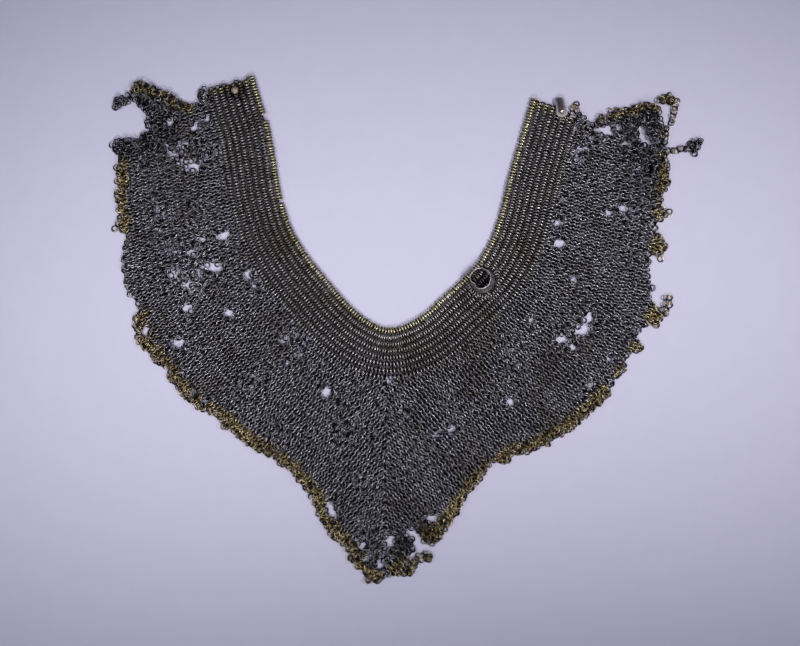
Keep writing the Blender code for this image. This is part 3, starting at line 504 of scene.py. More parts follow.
def lay_rows():
    """Middles of all links: rows lie at even distances from the neck edge, carried on straight past its
    ends. The cape's rows run straight on from each side of the neck's point and meet on the middle line.
    A step of rows shares its places along the row, which are even at the step's middle row, and every
    second row is set off by the stagger. Gives places, row directions, leans, band flags and distances
    from the edge."""
    step = 0.0005
    base = line_at(neck, np.arange(0.0, neck_length, step))
    ahead_left = (base[1] - base[0]) / step
    ahead_right = (base[-1] - base[-2]) / step
    back = base[0] - ahead_left * np.arange(RUN_ON, step / 2, -step)[:, None]
    on = base[-1] + ahead_right * np.arange(step, RUN_ON, step)[:, None]
    point = np.argmin(base[:, 1])
    last, first = point - int(POINT_LEFT / step), point + int(POINT_RIGHT / step)
    more = int(POINT_REACH / step)
    past_left = base[last] + (base[last] - base[last - 1]) * np.arange(1, more)[:, None]
    past_right = base[first] + (base[first] - base[first + 1]) * np.arange(more, 0, -1)[:, None]
    band_rows = int(round((BAND_WIDTH - BAND_FIRST) / BAND_ROWS)) + 1
    band_outs = BAND_FIRST + BAND_ROWS * np.arange(band_rows)
    runs = [(np.concatenate([back, base, on]), [(band_outs, BAND_PITCH, True)])]
    cape_first = band_outs[-1] + (BAND_ROWS + CAPE_ROWS) / 2
    starts = np.arange(cape_first - CAPE_ROWS * ROWS_IN_STEP, CAPE_REACH, CAPE_ROWS * ROWS_IN_STEP)
    steps = [(out + CAPE_ROWS * np.arange(ROWS_IN_STEP), CAPE_PITCH, False) for out in starts]
    runs.append((np.concatenate([back, base[:last + 1], past_left]), steps))
    runs.append((np.concatenate([past_right, base[first:], on]), steps))
    places, ways, leans, bands = [], [], [], []
    for side, (line, steps) in enumerate(runs):
        sharp = calmed(right_hand(line), 0.005, step)
        soft = calmed(right_hand(line), 0.020, step)
        row = 0
        for outs, pitch, in_band in steps:
            middle = outs.mean()
            blend = np.clip((middle - 0.048) / 0.060, 0, 1)
            normal = sharp * (1 - blend) + soft * blend
            normal /= np.linalg.norm(normal, axis=1)[:, None]
            along = lengths_along(line + normal * middle)
            count = int(along[-1] / pitch)
            for out in outs:
                stagger = BAND_STAGGER if in_band else CAPE_STAGGER
                at = (np.arange(count) + stagger * (row % 2)) * along[-1] / count
                square = rows_at(normal, along, at)
                laid = rows_at(line, along, at) + square * out
                half = np.ones(count, bool) if side == 0 else (laid[:, 0] < MIDDLE_ACROSS) == (side == 1)
                places.append(laid[half])
                ways.append(np.column_stack([-square[:, 1], square[:, 0]])[half])
                leans.append(np.full(half.sum(), 1.0 if row % 2 else -1.0))
                bands.append(np.full(half.sum(), in_band))
                row += 1
    places, ways, leans, bands = [np.concatenate(part) for part in (places, ways, leans, bands)]
    away = np.sqrt(((places[:, None] - neck[None, ::6]) ** 2).sum(axis=2)).min(axis=1)
    kept = bands | (away > cape_first - CAPE_ROWS / 2)
    return [part[kept] for part in (places, ways, leans, bands, away)]


def lay_edging():
    """Middles and row directions of the brass edging: one row at an even distance from the neck edge."""
    line = neck + right_hand(neck) * EDGING_OUT
    along = lengths_along(line)
    count = int(along[-1] / EDGING_PITCH)
    at = (np.arange(count) + 0.5) * along[-1] / count
    return line_at(line, at) + plan_shift, rows_at(directions(line), along, at)


def lay_strand(carrier, first, last, rows):
    """Middles, directions and numbers of a strand's links: even steps along its route, where between the
    first and last share every second step has two links side by side."""
    if carrier == "cape":
        route = np.array([plan_place(*row) for row in rows])
    else:
        end = neck_place(1.0, 0.0)
        out = neck_place(1.0, BAND_WIDTH) - end
        past = np.array([-out[1], out[0]])
        route = np.array([end + out * row[0] + past * row[1] for row in rows]) + plan_shift
    line = smooth_line(route, 200)
    along = lengths_along(line)
    count = int(along[-1] / STRAND_PITCH) + 1
    at = np.arange(count) * STRAND_PITCH
    ways = rows_at(directions(line), along, at)
    middle = line_at(line, at)
    square = np.column_stack([-ways[:, 1], ways[:, 0]])
    number = np.arange(count)
    paired = (number % 2 == 1) & (number >= first * count) & (number <= last * count)
    aside = square * 0.0019
    places = np.concatenate([middle + aside * paired[:, None], (middle - aside)[paired]])
    return places, np.concatenate([ways, ways[paired]]), np.concatenate([number, number[paired]]), count


def near_places(places, table, unit):
    """For each place, how much each round zone of a table holds it: a bell of the distance over its reach."""
    hold = []
    for row in table:
        away = away_from(places, plan_place(row[0], row[1]))
        hold.append(np.exp(-((away / (row[2] * unit)) ** 2)))
    return np.array(hold)


def inside_any(places, table):
    """Whether each place lies within the reach of any zone of a table, in links."""
    return (near_places(places, table, CAPE_LINK[0]) > math.exp(-1)).any(axis=0)


def joint_share(hold, table):
    """Share that the zones of a table give together: one less the product of what each leaves."""
    return 1 - np.prod(1 - hold * np.array([row[3] for row in table])[:, None], axis=0)


def away_from(places, point):
    """Distance of each place from one point."""
    return np.linalg.norm(places - point, axis=1)


def links_mesh(name, links, metal, nodes=()):
    """Joined links. Link points are middle + (radius + wire cos v)(cos u across + sin u beside)
    + wire sin v up, where the wire swells to a flattened lap near u = lap."""
    sides, wire_sides = links["sides"], links["wire_sides"]
    count = len(links["place"])
    u = np.arange(sides) * math.tau / sides
    v = (np.arange(wire_sides) + 0.5) * math.tau / wire_sides
    a, b = links["across"], links["beside"]
    c = np.cross(a, b)
    spin = links["lap"][:, None] + u[None]
    ring = np.cos(spin)[..., None] * a[:, None] + np.sin(spin)[..., None] * b[:, None]
    lap = np.exp(-((np.abs(u - math.pi) / 0.42) ** 2))
    wire = links["wire"][:, None] / 2
    flat = wire * (1 + 0.55 * lap)[None]
    thick = wire * (1 - 0.10 * lap)[None]
    out = links["radius"][:, None, None] + flat[..., None] * np.cos(v)
    up = thick[..., None] * np.sin(v)
    points = ring[:, :, None] * out[..., None] + c[:, None, None] * up[..., None]
    points = links["place"][:, None, None] + points
    i = np.arange(sides)[:, None]
    j = np.arange(wire_sides)[None]
    corner = lambda p, q: (p % sides) * wire_sides + q % wire_sides
    quad = np.stack([corner(i, j), corner(i + 1, j), corner(i + 1, j + 1), corner(i, j + 1)], axis=-1)
    first = np.arange(count) * sides * wire_sides
    quads = (quad.reshape(-1, 4)[None] + first[:, None, None]).reshape(-1, 4)
    tone = np.repeat(links["tone"], sides * wire_sides)
    # Painted shade: the lower a point lies in its link, the less light it is painted with
    height = points[..., 2] - links["foot"][:, None, None]
    worn = np.clip(height / (2 * links["rise"])[:, None, None], 0, 1) * links["lit_share"][:, None, None]
    return piece_from(name, points.reshape(-1, 3), quads, metal, nodes, tone, worn.reshape(-1))


def piece_from(name, points, quads, metal, nodes=(), tone=None, worn=None):
    """Smooth piece of four-sided faces that rides on the collar and stands for the given nodes. Tone sets
    its patina apart, and the other values go from 0, where painted shade darkens it most, to 1 where it shows
    bare metal."""
    mesh = bpy.data.meshes.new(name)
    mesh.vertices.add(len(points))
    mesh.vertices.foreach_set("co", np.ascontiguousarray(points, np.float32).ravel())
    mesh.loops.add(quads.size)
    mesh.loops.foreach_set("vertex_index", quads.astype(np.int32).ravel())
    mesh.polygons.add(len(quads))
    mesh.polygons.foreach_set("loop_start", np.arange(0, quads.size, 4, dtype=np.int32))
    mesh.update(calc_edges=True)
    mesh.shade_smooth()
    for label, values, plain in (("tone", tone, 0.5), ("worn", worn, 1.0)):
        if values is None:
            values = np.full(len(points), plain)
        mesh.attributes.new(label, "FLOAT", "POINT").data.foreach_set("value", values.astype(np.float32))
    piece = bpy.data.objects.new(name, mesh)
    bpy.context.scene.collection.objects.link(piece)
    piece.data.materials.append(metal)
    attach(piece, "root")
    if nodes:
        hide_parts(*nodes)
    return piece


def make_links(places, heights, ways, leans, size, wire, turn, pitch, sides, wire_sides=4):
    """Frames of leaning links: the row's direction is turned in plan, tipped up by the lean, and rolled
    about itself by the pitch; the other axis lies square to it."""
    c, s = np.cos(turn)[:, None], np.sin(turn)[:, None]
    ahead = ways * c + np.column_stack([-ways[:, 1], ways[:, 0]]) * s
    square = np.column_stack([-ahead[:, 1], ahead[:, 0]])
    flat = np.zeros(len(places))
    across = np.column_stack([ahead * np.cos(leans)[:, None], np.sin(leans)])
    normal = np.column_stack([-ahead * np.sin(leans)[:, None], np.cos(leans)])
    level = np.column_stack([square, flat])
    beside = level * np.cos(pitch)[:, None] + normal * np.sin(pitch)[:, None]
    radius = (size - wire) / 2
    rise = radius * np.sqrt(across[:, 2] ** 2 + beside[:, 2] ** 2) + wire / 2
    return {
        "place": np.column_stack([places, heights + rise]), "across": across, "beside": beside,
        "radius": radius, "wire": wire, "lap": rng.uniform(0, math.tau, len(places)),
        "tone": rng.uniform(0, 1, len(places)),
        "sides": sides, "wire_sides": wire_sides, "rise": rise, "foot": heights,
        "lit_share": np.ones(len(places)),
    }


def joined(first, second):
    """Two sets of links as one."""
    return {
        key: np.concatenate([value, second[key]]) if isinstance(value, np.ndarray) else value
        for key, value in first.items()
    }


def some_of(links, chosen):
    """The chosen links."""
    return {key: value[chosen] if isinstance(value, np.ndarray) else value for key, value in links.items()}


def ring_points(share, out):
    """Frame of the ring: its middle at the band, the axis leaning towards the neck."""
    foot = neck_place(share, out * BAND_WIDTH)
    away = foot - neck_place(share, 0.0)
    turn = Matrix.Rotation(math.atan2(away[1], away[0]) + RING_TURN, 4, "Z")
    lean = Matrix.Rotation(-RING_LEAN, 4, "Y")
    height = BAND_THICKNESS - RING_SINK + RING_FOOT_DIAMETER / 2 * math.sin(RING_LEAN)
    foot = foot + plan_shift
    return np.array(Matrix.Translation((foot[0], foot[1], height)) @ turn @ lean)


def tab_points():
    """Frame of the strap end at the band's end, its length slanting down the band."""
    share, out = TAB_PLACE
    here, end = neck_place(share, out * BAND_WIDTH), neck_place(1.0, out * BAND_WIDTH)
    ahead = (end - here) / np.linalg.norm(end - here)
    turn = Matrix.Rotation(math.atan2(ahead[1], ahead[0]) - math.pi / 2 + TAB_TURN, 4, "Z")
    end = end + plan_shift + TAB_ASIDE
    return np.array(Matrix.Translation((end[0], end[1], 0.0)) @ turn)


# Finishes

def new_group(name, inputs, outputs):
    """Empty node group with named sockets: (name, kind, start value) in, (name, kind) out."""
    group = bpy.data.node_groups.new(name, "ShaderNodeTree")
    for label, kind, start in inputs:
        socket = group.interface.new_socket(label, in_out="INPUT", socket_type=kind)
        socket.default_value = start
    for label, kind in outputs:
        group.interface.new_socket(label, in_out="OUTPUT", socket_type=kind)
    return group, group.nodes.new("NodeGroupInput"), group.nodes.new("NodeGroupOutput")


def add_node(tree, kind, given, **settings):
    """Node of a kind with its settings. Each given input is a number or another node's output."""
    node = tree.nodes.new("ShaderNode" + kind)
    for label, value in settings.items():
        setattr(node, label, value)
    for label, value in given.items():
        if isinstance(value, bpy.types.NodeSocket):
            tree.links.new(value, node.inputs[label])
        else:
            node.inputs[label].default_value = value
    return node


def noise_node(tree, place, scale, detail, rough=0.55):
    """Noise on the given coordinates, at a scale in waves to the metre."""
    given = {"Vector": place, "Scale": scale, "Detail": detail, "Roughness": rough}
    return add_node(tree, "TexNoise", given).outputs["Fac"]


def attribute_node(tree, label):
    """Value of a piece's own attribute."""
    return add_node(tree, "Attribute", {}, attribute_name=label).outputs["Fac"]


def ranged(tree, value, low, high, to_low=0.0, to_high=1.0):
    """Value carried from one range to another and held inside it."""
    given = {"Value": value, "From Min": low, "From Max": high, "To Min": to_low, "To Max": to_high}
    return add_node(tree, "MapRange", given).outputs["Result"]


def sum_of(tree, *terms):
    """Weighted sum of values: pairs of an output and a number."""
    total = 0.0
    for value, weight in terms:
        given = {0: value, 1: weight, 2: total}
        total = add_node(tree, "Math", given, operation="MULTIPLY_ADD").outputs[0]
    return total


def times(tree, first, second):
    """Product of two values."""
    return add_node(tree, "Math", {0: first, 1: second}, operation="MULTIPLY").outputs[0]


def blended(tree, share, first, second):
    """Colour between two, by a share."""
    return add_node(tree, "Mix", {0: share, 6: first, 7: second}, data_type="RGBA").outputs[2]


def old_metal_group():
    """Age of wrought metal: bare metal dulled by patina in cloudy blotches that change from link to link,
    with stains in broad drifts, pits that roughen it, and a shade colour painted where the piece's
    painted-shade attribute is low."""
    group, given, out = new_group(
        "old_metal",
        (
            ("Metal", "NodeSocketColor", (0.5, 0.5, 0.5, 1)),
            ("Patina", "NodeSocketColor", (0.05, 0.05, 0.05, 1)),
            ("Stain", "NodeSocketColor", (0.1, 0.06, 0.03, 1)),
            ("Shade", "NodeSocketColor", (0.02, 0.02, 0.02, 1)),
            ("Patina Share", "NodeSocketFloat", 0.5), ("Stain Share", "NodeSocketFloat", 0.5),
            ("Roughness", "NodeSocketFloat", 0.4),
        ),
        (("Colour", "NodeSocketColor"), ("Roughness", "NodeSocketFloat"), ("Pits", "NodeSocketFloat")),
    )
    place = group.nodes.new("ShaderNodeTexCoord").outputs["Object"]
    tone = attribute_node(group, "tone")
    fine = noise_node(group, place, 1500, 3)
    blotch = noise_node(group, place, 260, 3)
    drift = noise_node(group, place, 24, 4, 0.6)
    dull = ranged(group, sum_of(group, (blotch, 0.9), (tone, 0.45), (fine, 0.35)), 0.55, 1.15)
    low = add_node(group, "Math", {0: given.outputs["Patina Share"], 1: 0.45}, operation="SUBTRACT")
    low = {0: dull, 1: 0.9, 2: low.outputs[0]}
    share = add_node(group, "Math", low, operation="MULTIPLY_ADD", use_clamp=True).outputs[0]
    # Painted shade: the piece's low parts take the shade colour in place of the metal
    light_and_wear = ranged(group, sum_of(group, (attribute_node(group, "worn"), 1.0), (fine, 0.2)), 0.56, 1.04)
    metal = blended(group, share, given.outputs["Metal"], given.outputs["Patina"])
    stained = times(group, ranged(group, sum_of(group, (drift, 1.0), (blotch, 0.25)), 0.60, 0.78),
                    given.outputs["Stain Share"])
    metal = blended(group, stained, metal, given.outputs["Stain"])
    group.links.new(blended(group, light_and_wear, given.outputs["Shade"], metal), out.inputs["Colour"])
    rough = sum_of(group, (given.outputs["Roughness"], 1.0), (fine, 0.22), (share, 0.16), (stained, 0.15))
    group.links.new(ranged(group, rough, 0.15, 1.15, 0.05, 1.0), out.inputs["Roughness"])
    group.links.new(sum_of(group, (fine, 0.6), (blotch, 0.4)), out.inputs["Pits"])
    return group


old_metal = old_metal_group()


def metal_finish(name, metal, patina, stain, shade_colour, patina_share, stain_share, rough, pits, metallic=0.9):
    """Material of one old metal. Pits is the depth of its pitting in metres."""
    finish = bpy.data.materials.new(name)
    finish.use_nodes = True
    tree = finish.node_tree
    shader = tree.nodes["Principled BSDF"]
    age = tree.nodes.new("ShaderNodeGroup")
    age.node_tree = old_metal
    for label, value in (
        ("Metal", (*metal, 1)), ("Patina", (*patina, 1)), ("Stain", (*stain, 1)), ("Shade", (*shade_colour, 1)),
        ("Patina Share", patina_share), ("Stain Share", stain_share), ("Roughness", rough),
    ):
        age.inputs[label].default_value = value
    tree.links.new(age.outputs["Colour"], shader.inputs["Base Color"])
    tree.links.new(age.outputs["Roughness"], shader.inputs["Roughness"])
    bump = add_node(tree, "Bump", {"Distance": pits, "Strength": 0.8, "Height": age.outputs["Pits"]})
    tree.links.new(bump.outputs["Normal"], shader.inputs["Normal"])
    shader.inputs["Metallic"].default_value = metallic
    return finish


# The fourth colour of each finish is its painted shade colour, for the low parts of its pieces
band_steel = metal_finish(
    "band_steel", (0.69, 0.64, 0.62), (0.262, 0.236, 0.226), (0.200, 0.145, 0.080), (0.016, 0.014, 0.014),
    0.45, 0.55, 0.28, 0.00012)
cape_steel = metal_finish(
    "cape_steel", (0.58, 0.57, 0.61), (0.185, 0.181, 0.199), (0.190, 0.145, 0.098), (0.016, 0.016, 0.018),
    0.50, 0.55, 0.32, 0.00012)
edging_brass = metal_finish(
    "edging_brass", (0.95, 0.87, 0.56), (0.420, 0.350, 0.160), (0.150, 0.115, 0.050), (0.034, 0.027, 0.012),
    0.42, 0.40, 0.26, 0.00010)
hem_brass = metal_finish(
    "hem_brass", (0.88, 0.72, 0.42), (0.330, 0.250, 0.118), (0.150, 0.106, 0.050), (0.038, 0.028, 0.014),
    0.50, 0.60, 0.32, 0.00012)
stud_copper = metal_finish(
    "stud_copper", (0.43, 0.33, 0.26), (0.300, 0.218, 0.168), (0.160, 0.105, 0.075), (0.100, 0.065, 0.045),
    0.50, 0.50, 0.42, 0.00014, 0.75)
tongue_iron = metal_finish(
    "tongue_iron", (0.49, 0.46, 0.47), (0.330, 0.308, 0.312), (0.300, 0.250, 0.220), (0.200, 0.180, 0.180),
    0.50, 0.35, 0.46, 0.00014, 0.7)
strip_iron = metal_finish(
    "strip_iron", (0.44, 0.39, 0.42), (0.250, 0.218, 0.240), (0.140, 0.100, 0.070), (0.050, 0.042, 0.048),
    0.50, 0.40, 0.44, 0.00014, 0.8)
rivet_bright = metal_finish(
    "rivet_bright", (0.72, 0.66, 0.62), (0.55, 0.48, 0.44), (0.300, 0.220, 0.180), (0.200, 0.160, 0.140),
    0.30, 0.20, 0.40, 0.00006)
ring_iron = metal_finish(
    "ring_iron", (0.66, 0.64, 0.63), (0.300, 0.285, 0.280), (0.180, 0.130, 0.090), (0.130, 0.122, 0.118),
    0.45, 0.40, 0.34, 0.00016)


# The links of the mail

all_places, all_ways, all_leans, all_bands, all_away = lay_rows()
all_places = all_places + plan_shift
in_cape = ~all_bands
calm = np.clip((all_away - BAND_WIDTH) / 0.020, 0, 1)
shift = DRIFT_SIZE * np.column_stack([rumple(all_places, DRIFT_LENGTH, seed) for seed in (3, 4)])
all_places = all_places + shift * (in_cape * calm)[:, None]

# Owners: a band row that runs over onto the cape stays of the band, and the other way round
band, cape = MAIL_NODES.index("neck_band"), MAIL_NODES.index("cape")
owner = owner_at(all_places)
owner = np.where(all_bands & (owner == cape), band, owner)
owner = np.where(in_cape & (owner == band) & (all_away < BAND_WIDTH + 0.006), cape, owner)

opened = near_places(all_places, OPENED, CAPE_LINK[0])
gone = joint_share(opened, OPENED)
loose = np.clip(opened.sum(axis=0), 0, 1) * in_cape
reached = inside_any(all_places, REACHED) & (all_away > BAND_WIDTH)
owner = np.where(reached & (owner != cape), cape, owner)
cover = np.maximum(cover_at(all_places, COVER_REACH), reached)
wide_cover = cover_at(all_places, COVER_WIDE)
kept = (cover > COVER_LEAST) & (owner >= 0) & (rng.uniform(0, 1, len(owner)) > gone * in_cape)
kept &= belongs(owner, BAND_NODES) == all_bands
kept &= owner != MAIL_NODES.index("neck_edging")

# The ring stands in the band: links keep clear of its wall
ring_middle = neck_place(RING_PLACE[0], RING_PLACE[1] * BAND_WIDTH) + plan_shift
from_wall = away_from(all_places, ring_middle) - RING_FOOT_DIAMETER / 2
kept &= (from_wall < -RING_CLEAR_IN) | (from_wall > RING_CLEAR_OUT)

all_places, all_ways, all_leans, all_bands = [
    part[kept] for part in (all_places, all_ways, all_leans, all_bands)]
owner, wide_cover, loose = owner[kept], wide_cover[kept], loose[kept]
count = len(owner)
edge = np.clip((0.97 - wide_cover) / 0.12, 0, 1) * ~all_bands
hem = belongs(owner, BRASS_NODES) & ~all_bands
bunched = near_places(all_places, BUNCHED, CAPE_LINK[0])
crowded = np.clip(bunched.sum(axis=0), 0, 1) * ~all_bands
slack = np.clip(rumple(all_places, 0.045, 9) + 0.35, 0, 1) * ~all_bands
free = np.clip(edge * 0.8 + loose * 0.5 + hem * 0.45 + crowded * 0.6 + slack * 0.35, 0, 1)


def draws(number):
    """Seeded draws from the bell of mean 0 and spread 1."""
    return rng.normal(0, 1, number)


def varied(link, number, spread=0.02):
    """Diameters and wires of links, each scattered about the pair's own by a share."""
    return link[0] * (1 + spread * draws(number)), link[1] * (1 + 0.05 * draws(number))


spot = np.where(all_bands, 0.00010, 0.00020) + 0.00035 * free
places = all_places + np.column_stack([draws(count), draws(count)]) * spot[:, None]
flat_loop = (edge > 0.5) & (rng.uniform(0, 1, count) < 0.35)
proud = all_leans > 0
base_lean = np.where(all_bands, np.where(proud, *BAND_LEAN), np.where(proud, *CAPE_LEAN))
base_lean = base_lean * (1 - 0.35 * free) * np.where(flat_loop, 0.35, 1)
lean = all_leans * base_lean + np.radians(np.where(all_bands, 3, 5) + 9 * free) * draws(count)
turn = np.radians(np.where(all_bands, 3, 8) + 20 * free) * draws(count)
pitch = np.radians(np.where(all_bands, 3, 7) + 10 * free) * draws(count)
size, wire = varied([np.where(all_bands, *pair) for pair in zip(BAND_LINK, CAPE_LINK)], count)
height = lift_at(all_places) + rng.uniform(0, 0.0003, count)
height = height + proud * np.where(all_bands, BAND_STEP, CAPE_STEP)

# Under the tab and the stud the links lie flatter; round the stud they are painted darker, and inside the
# ring they take painted shadow from its wall
on_tab = (np.column_stack([places, np.zeros(count), np.ones(count)]) @ np.linalg.inv(tab_points()).T)[:, :2]
under = (np.abs(on_tab[:, 0]) < TAB_WIDTH / 2 + 0.001) & (on_tab[:, 1] > -TAB_LENGTH)
from_stud = away_from(places, stud_middle)
under = (under | (from_stud < STUD_DIAMETER / 2 + 0.001)) & all_bands
lean = np.where(under, np.sign(all_leans) * math.radians(30), lean)
height = np.where(under, 0.0002, height)
links = make_links(places, height, all_ways, lean, size, wire, turn, pitch, 10, 3)
# Painted shade: the rows between the proud ones are painted darker
links["lit_share"] = np.where(proud, 1.0, np.where(all_bands, BAND_SHADED_ROW_LIGHT, CAPE_SHADED_ROW_LIGHT))
# Painted shade on the lower layer where the mail is bunched; darker round the stud; painted shadow inside the
# ring
links["lit_share"] *= 1 - 0.35 * crowded
links["lit_share"] *= 1 - 0.42 * np.exp(-((from_stud / 0.0085) ** 4))
links["lit_share"] *= np.where(away_from(places, ring_middle) < RING_FOOT_DIAMETER / 2, 0.85, 1.0)

# A second layer where the mail is bunched
share = 1 - (1 - joint_share(bunched, BUNCHED)) * np.where(hem, 0.65, 1)
doubled = (rng.uniform(0, 1, count) < share) & ~all_bands & (wide_cover > np.where(hem, 0.6, 0.9))
more = int(doubled.sum())
upper = make_links(
    places[doubled] + rng.normal(0, 0.0009, (more, 2)),
    height[doubled] + SECOND_LAYER + rng.uniform(0, 0.0008, more),
    all_ways[doubled], np.radians(rng.uniform(-65, 65, more)), size[doubled], wire[doubled],
    rng.uniform(-1.2, 1.2, more), np.radians(12) * draws(more), 10, 3)
# The second layer takes painted shade measured from the first layer's foot, and is painted darker still
upper["foot"] = height[doubled]
upper["rise"] = upper["rise"] + 0.0010
upper["lit_share"] *= 0.80
links = joined(links, upper)
owner = np.concatenate([owner, owner[doubled]])
flat_places = links["place"][:, :2]

# A tuft keeps the cape's weave but is of brass
tuft = inside_any(flat_places, TUFTS) & (owner == cape)

on_left = flat_places[:, 0] < plan_shift[0]
for side, half in (("left", on_left), ("right", ~on_left)):
    part = some_of(links, (owner == band) & half)
    links_mesh("band_mail_" + side, part, band_steel, ["neck_band"])
for name in BRASS_NODES:
    if name == "neck_edging":
        continue
    metal = edging_brass if name in BAND_NODES else hem_brass
    links_mesh(name + "_mail", some_of(links, owner == MAIL_NODES.index(name)), metal, [name])
chosen = (owner == cape) & ~tuft
marks = np.quantile(flat_places[chosen, 0], [0.0, 0.2, 0.4, 0.6, 0.8, 1.0])
marks[0] -= 1
for k, side in enumerate(("far_left", "left", "middle", "right", "far_right")):
    part = chosen & (flat_places[:, 0] > marks[k]) & (flat_places[:, 0] <= marks[k + 1])
    links_mesh("cape_mail_" + side, some_of(links, part), cape_steel, ["cape"])
links_mesh("brass_tufts", some_of(links, tuft), hem_brass, ["cape"])

# The edging: one tight row of brass that leans along the neck
edging_places, edging_ways = lay_edging()
kept = cover_at(edging_places, 0.0018) > 0.70
kept &= away_from(edging_places, ring_middle) > RING_FOOT_DIAMETER / 2 - 0.0004
edging_places, edging_ways = edging_places[kept], edging_ways[kept]
count = len(edging_places)
edging = make_links(
    edging_places + rng.normal(0, 0.00010, (count, 2)), rng.uniform(0, 0.0004, count), edging_ways,
    EDGING_LEAN + np.radians(4) * draws(count), *varied(EDGING_LINK, count),
    np.radians(5) * draws(count), np.radians(4) * draws(count), 12)
links_mesh("neck_edging_mail", edging, edging_brass, ["neck_edging"])

# A row of the band's links lies close round the foot of the ring
count = int(math.tau * (RING_FOOT_DIAMETER / 2 + ROUND_RING) / BAND_PITCH)
angles = np.arange(count) * math.tau / count
circle = np.column_stack([np.cos(angles), np.sin(angles)])
# On the side that the ring leans away from, the row rides up its foot
up = np.exp(-(((np.remainder(angles - RING_BURIED + math.pi, math.tau) - math.pi) / 0.9) ** 4))
around = ring_middle + circle * (RING_FOOT_DIAMETER / 2 + ROUND_RING - 0.0012 * up)[:, None]
away = np.linalg.norm(around[:, None] - (neck + plan_shift)[None], axis=2).min(axis=1)
kept = (away > EDGING_OUT + 0.0016) & (owner_at(around) >= 0)
collar = make_links(
    around[kept] + rng.normal(0, 0.0001, (kept.sum(), 2)), 0.0002 + 0.0022 * up[kept],
    np.column_stack([-circle[kept, 1], circle[kept, 0]]), np.radians(50 + 4 * draws(kept.sum())),
    np.full(kept.sum(), BAND_LINK[0]), np.full(kept.sum(), BAND_LINK[1]), np.radians(4) * draws(kept.sum()),
    np.radians(4) * draws(kept.sum()), 12)
# The row round the ring's foot is painted darker
collar["lit_share"] *= 0.8
links_mesh("band_mail_round_ring", collar, band_steel, ["neck_band"])

# Loose strands, and single links at the edges
for name, (carrier, brass, first, last, rows) in STRANDS.items():
    strand, ways, number, steps = lay_strand(carrier, first, last, rows)
    count = len(strand)
    lean = np.where(number % 2 == 1, 1.0, -1.0) * STRAND_LEAN + np.radians(9) * draws(count)
    chain = make_links(
        strand + rng.normal(0, 0.00025, (count, 2)), rng.uniform(0, 0.0004, count), ways, lean,
        *varied(STRAND_LINK, count), np.radians(14) * draws(count), np.radians(10) * draws(count), 12)
    of_brass = number < brass * steps
    for metal, slot, part in ((hem_brass, "brass_mail", of_brass), (cape_steel, "steel_mail", ~of_brass)):
        if part.any():
            links_mesh(name + "_" + slot.split("_")[0], some_of(chain, part), metal, [name])
for metal, finish in (("steel", cape_steel), ("brass", hem_brass)):
    rows = EDGE_LOOPS[metal]
    spots = np.array([plan_place(row[0], row[1]) for row in rows])
    low, tilt = rng.uniform(0, 0.0006, len(rows)), np.radians([row[2] for row in rows])
    single = len(rows)
    for across, down, reach, number, kind in CLUMPS:
        if kind == metal:
            spots = np.concatenate([spots, plan_place(across, down) + rng.normal(0, reach / 2, (number, 2))])
            low = np.concatenate([low, rng.uniform(0, 0.0022, number)])
            tilt = np.concatenate([tilt, np.radians(rng.uniform(-60, 60, number))])
    count = len(spots)
    loops = make_links(
        spots, low, np.column_stack([np.ones(count), np.zeros(count)]), tilt,
        *varied(STRAND_LINK, count, 0.03), rng.uniform(0, math.tau, count), np.zeros(count), 14)
    # The clumps' links are painted darker: painted shade
    loops["lit_share"][single:] = 0.68
    links_mesh("edge_loops_" + metal, loops, finish)


# Fittings

def closed_loops(rings):
    """Faces of a surface whose rings of points close on themselves, from one ring to the next."""
    steps, sides = rings
    i = np.arange(steps - 1)[:, None]
    j = np.arange(sides)[None]
    beside = (j + 1) % sides
    corners = [i * sides + j, i * sides + beside, (i + 1) * sides + beside, (i + 1) * sides + j]
    return np.stack(corners, axis=-1).reshape(-1, 4)


def outward(points, quads):
    """Faces turned so that the closed surface's volume, a sixth of the sum of the triple products, is
    more than 0."""
    a, b, c, d = [points[quads[:, k]] for k in range(4)]
    volume = (np.cross(a, b) * c).sum() + (np.cross(a, c) * d).sum()
    return quads if volume > 0 else quads[:, ::-1]


def close_poles(piece):
    """Points that lie on one another made one, so that a ring drawn in to nothing becomes a pole."""
    shape = bmesh.new()
    shape.from_mesh(piece.data)
    bmesh.ops.remove_doubles(shape, verts=shape.verts, dist=1e-7)
    shape.to_mesh(piece.data)
    shape.free()


def rivet_head(name, place, seat, head, height, shank, dents, metal, seed):
    """Hammered head: radius r(t) = head/2 sin t and height h(t) = height cos t for t up to a quarter turn,
    both carried round the axis and pushed in and out by a low wave field, then the shank below."""
    sides, steps = 40, 12
    t = np.linspace(0, math.pi / 2, steps)
    radius = np.concatenate([head / 2 * np.sin(t) ** 0.8, [head / 2 * 0.93, shank / 2, shank / 2, 0.0]])
    up = np.concatenate([height * np.cos(t) ** 0.8 + 0.0002, [0.0, 0.0, -0.0024, -0.0024]])
    around = np.arange(sides) * math.tau / sides
    spots = [(radius[:, None] * np.cos(around)).ravel(), (radius[:, None] * np.sin(around)).ravel()]
    field = rumple(np.column_stack(spots), head / 2, seed)
    field = field.reshape(len(radius), sides) * (np.arange(len(radius)) < steps)[:, None]
    out = radius[:, None] * (1 + 0.025 * np.sin(3 * around + seed)[None] * (radius > head / 4)[:, None])
    level = up[:, None] + dents * field * np.clip(up / height, 0, 1)[:, None]
    points = [place[0] + out * np.cos(around), place[1] + out * np.sin(around), seat + level]
    points = np.stack(points, axis=-1).reshape(-1, 3)
    quads = outward(points, closed_loops((len(radius), sides)))
    # Painted lighter the higher it stands on the head, painted shade at its foot
    worn = np.repeat(np.clip(0.35 + up / height, 0, 1), sides) + 0.25 * field.ravel()
    tone = np.clip(0.5 + field.ravel(), 0, 1)
    close_poles(piece_from(name + "_head", points, quads, metal, [name], tone, worn))


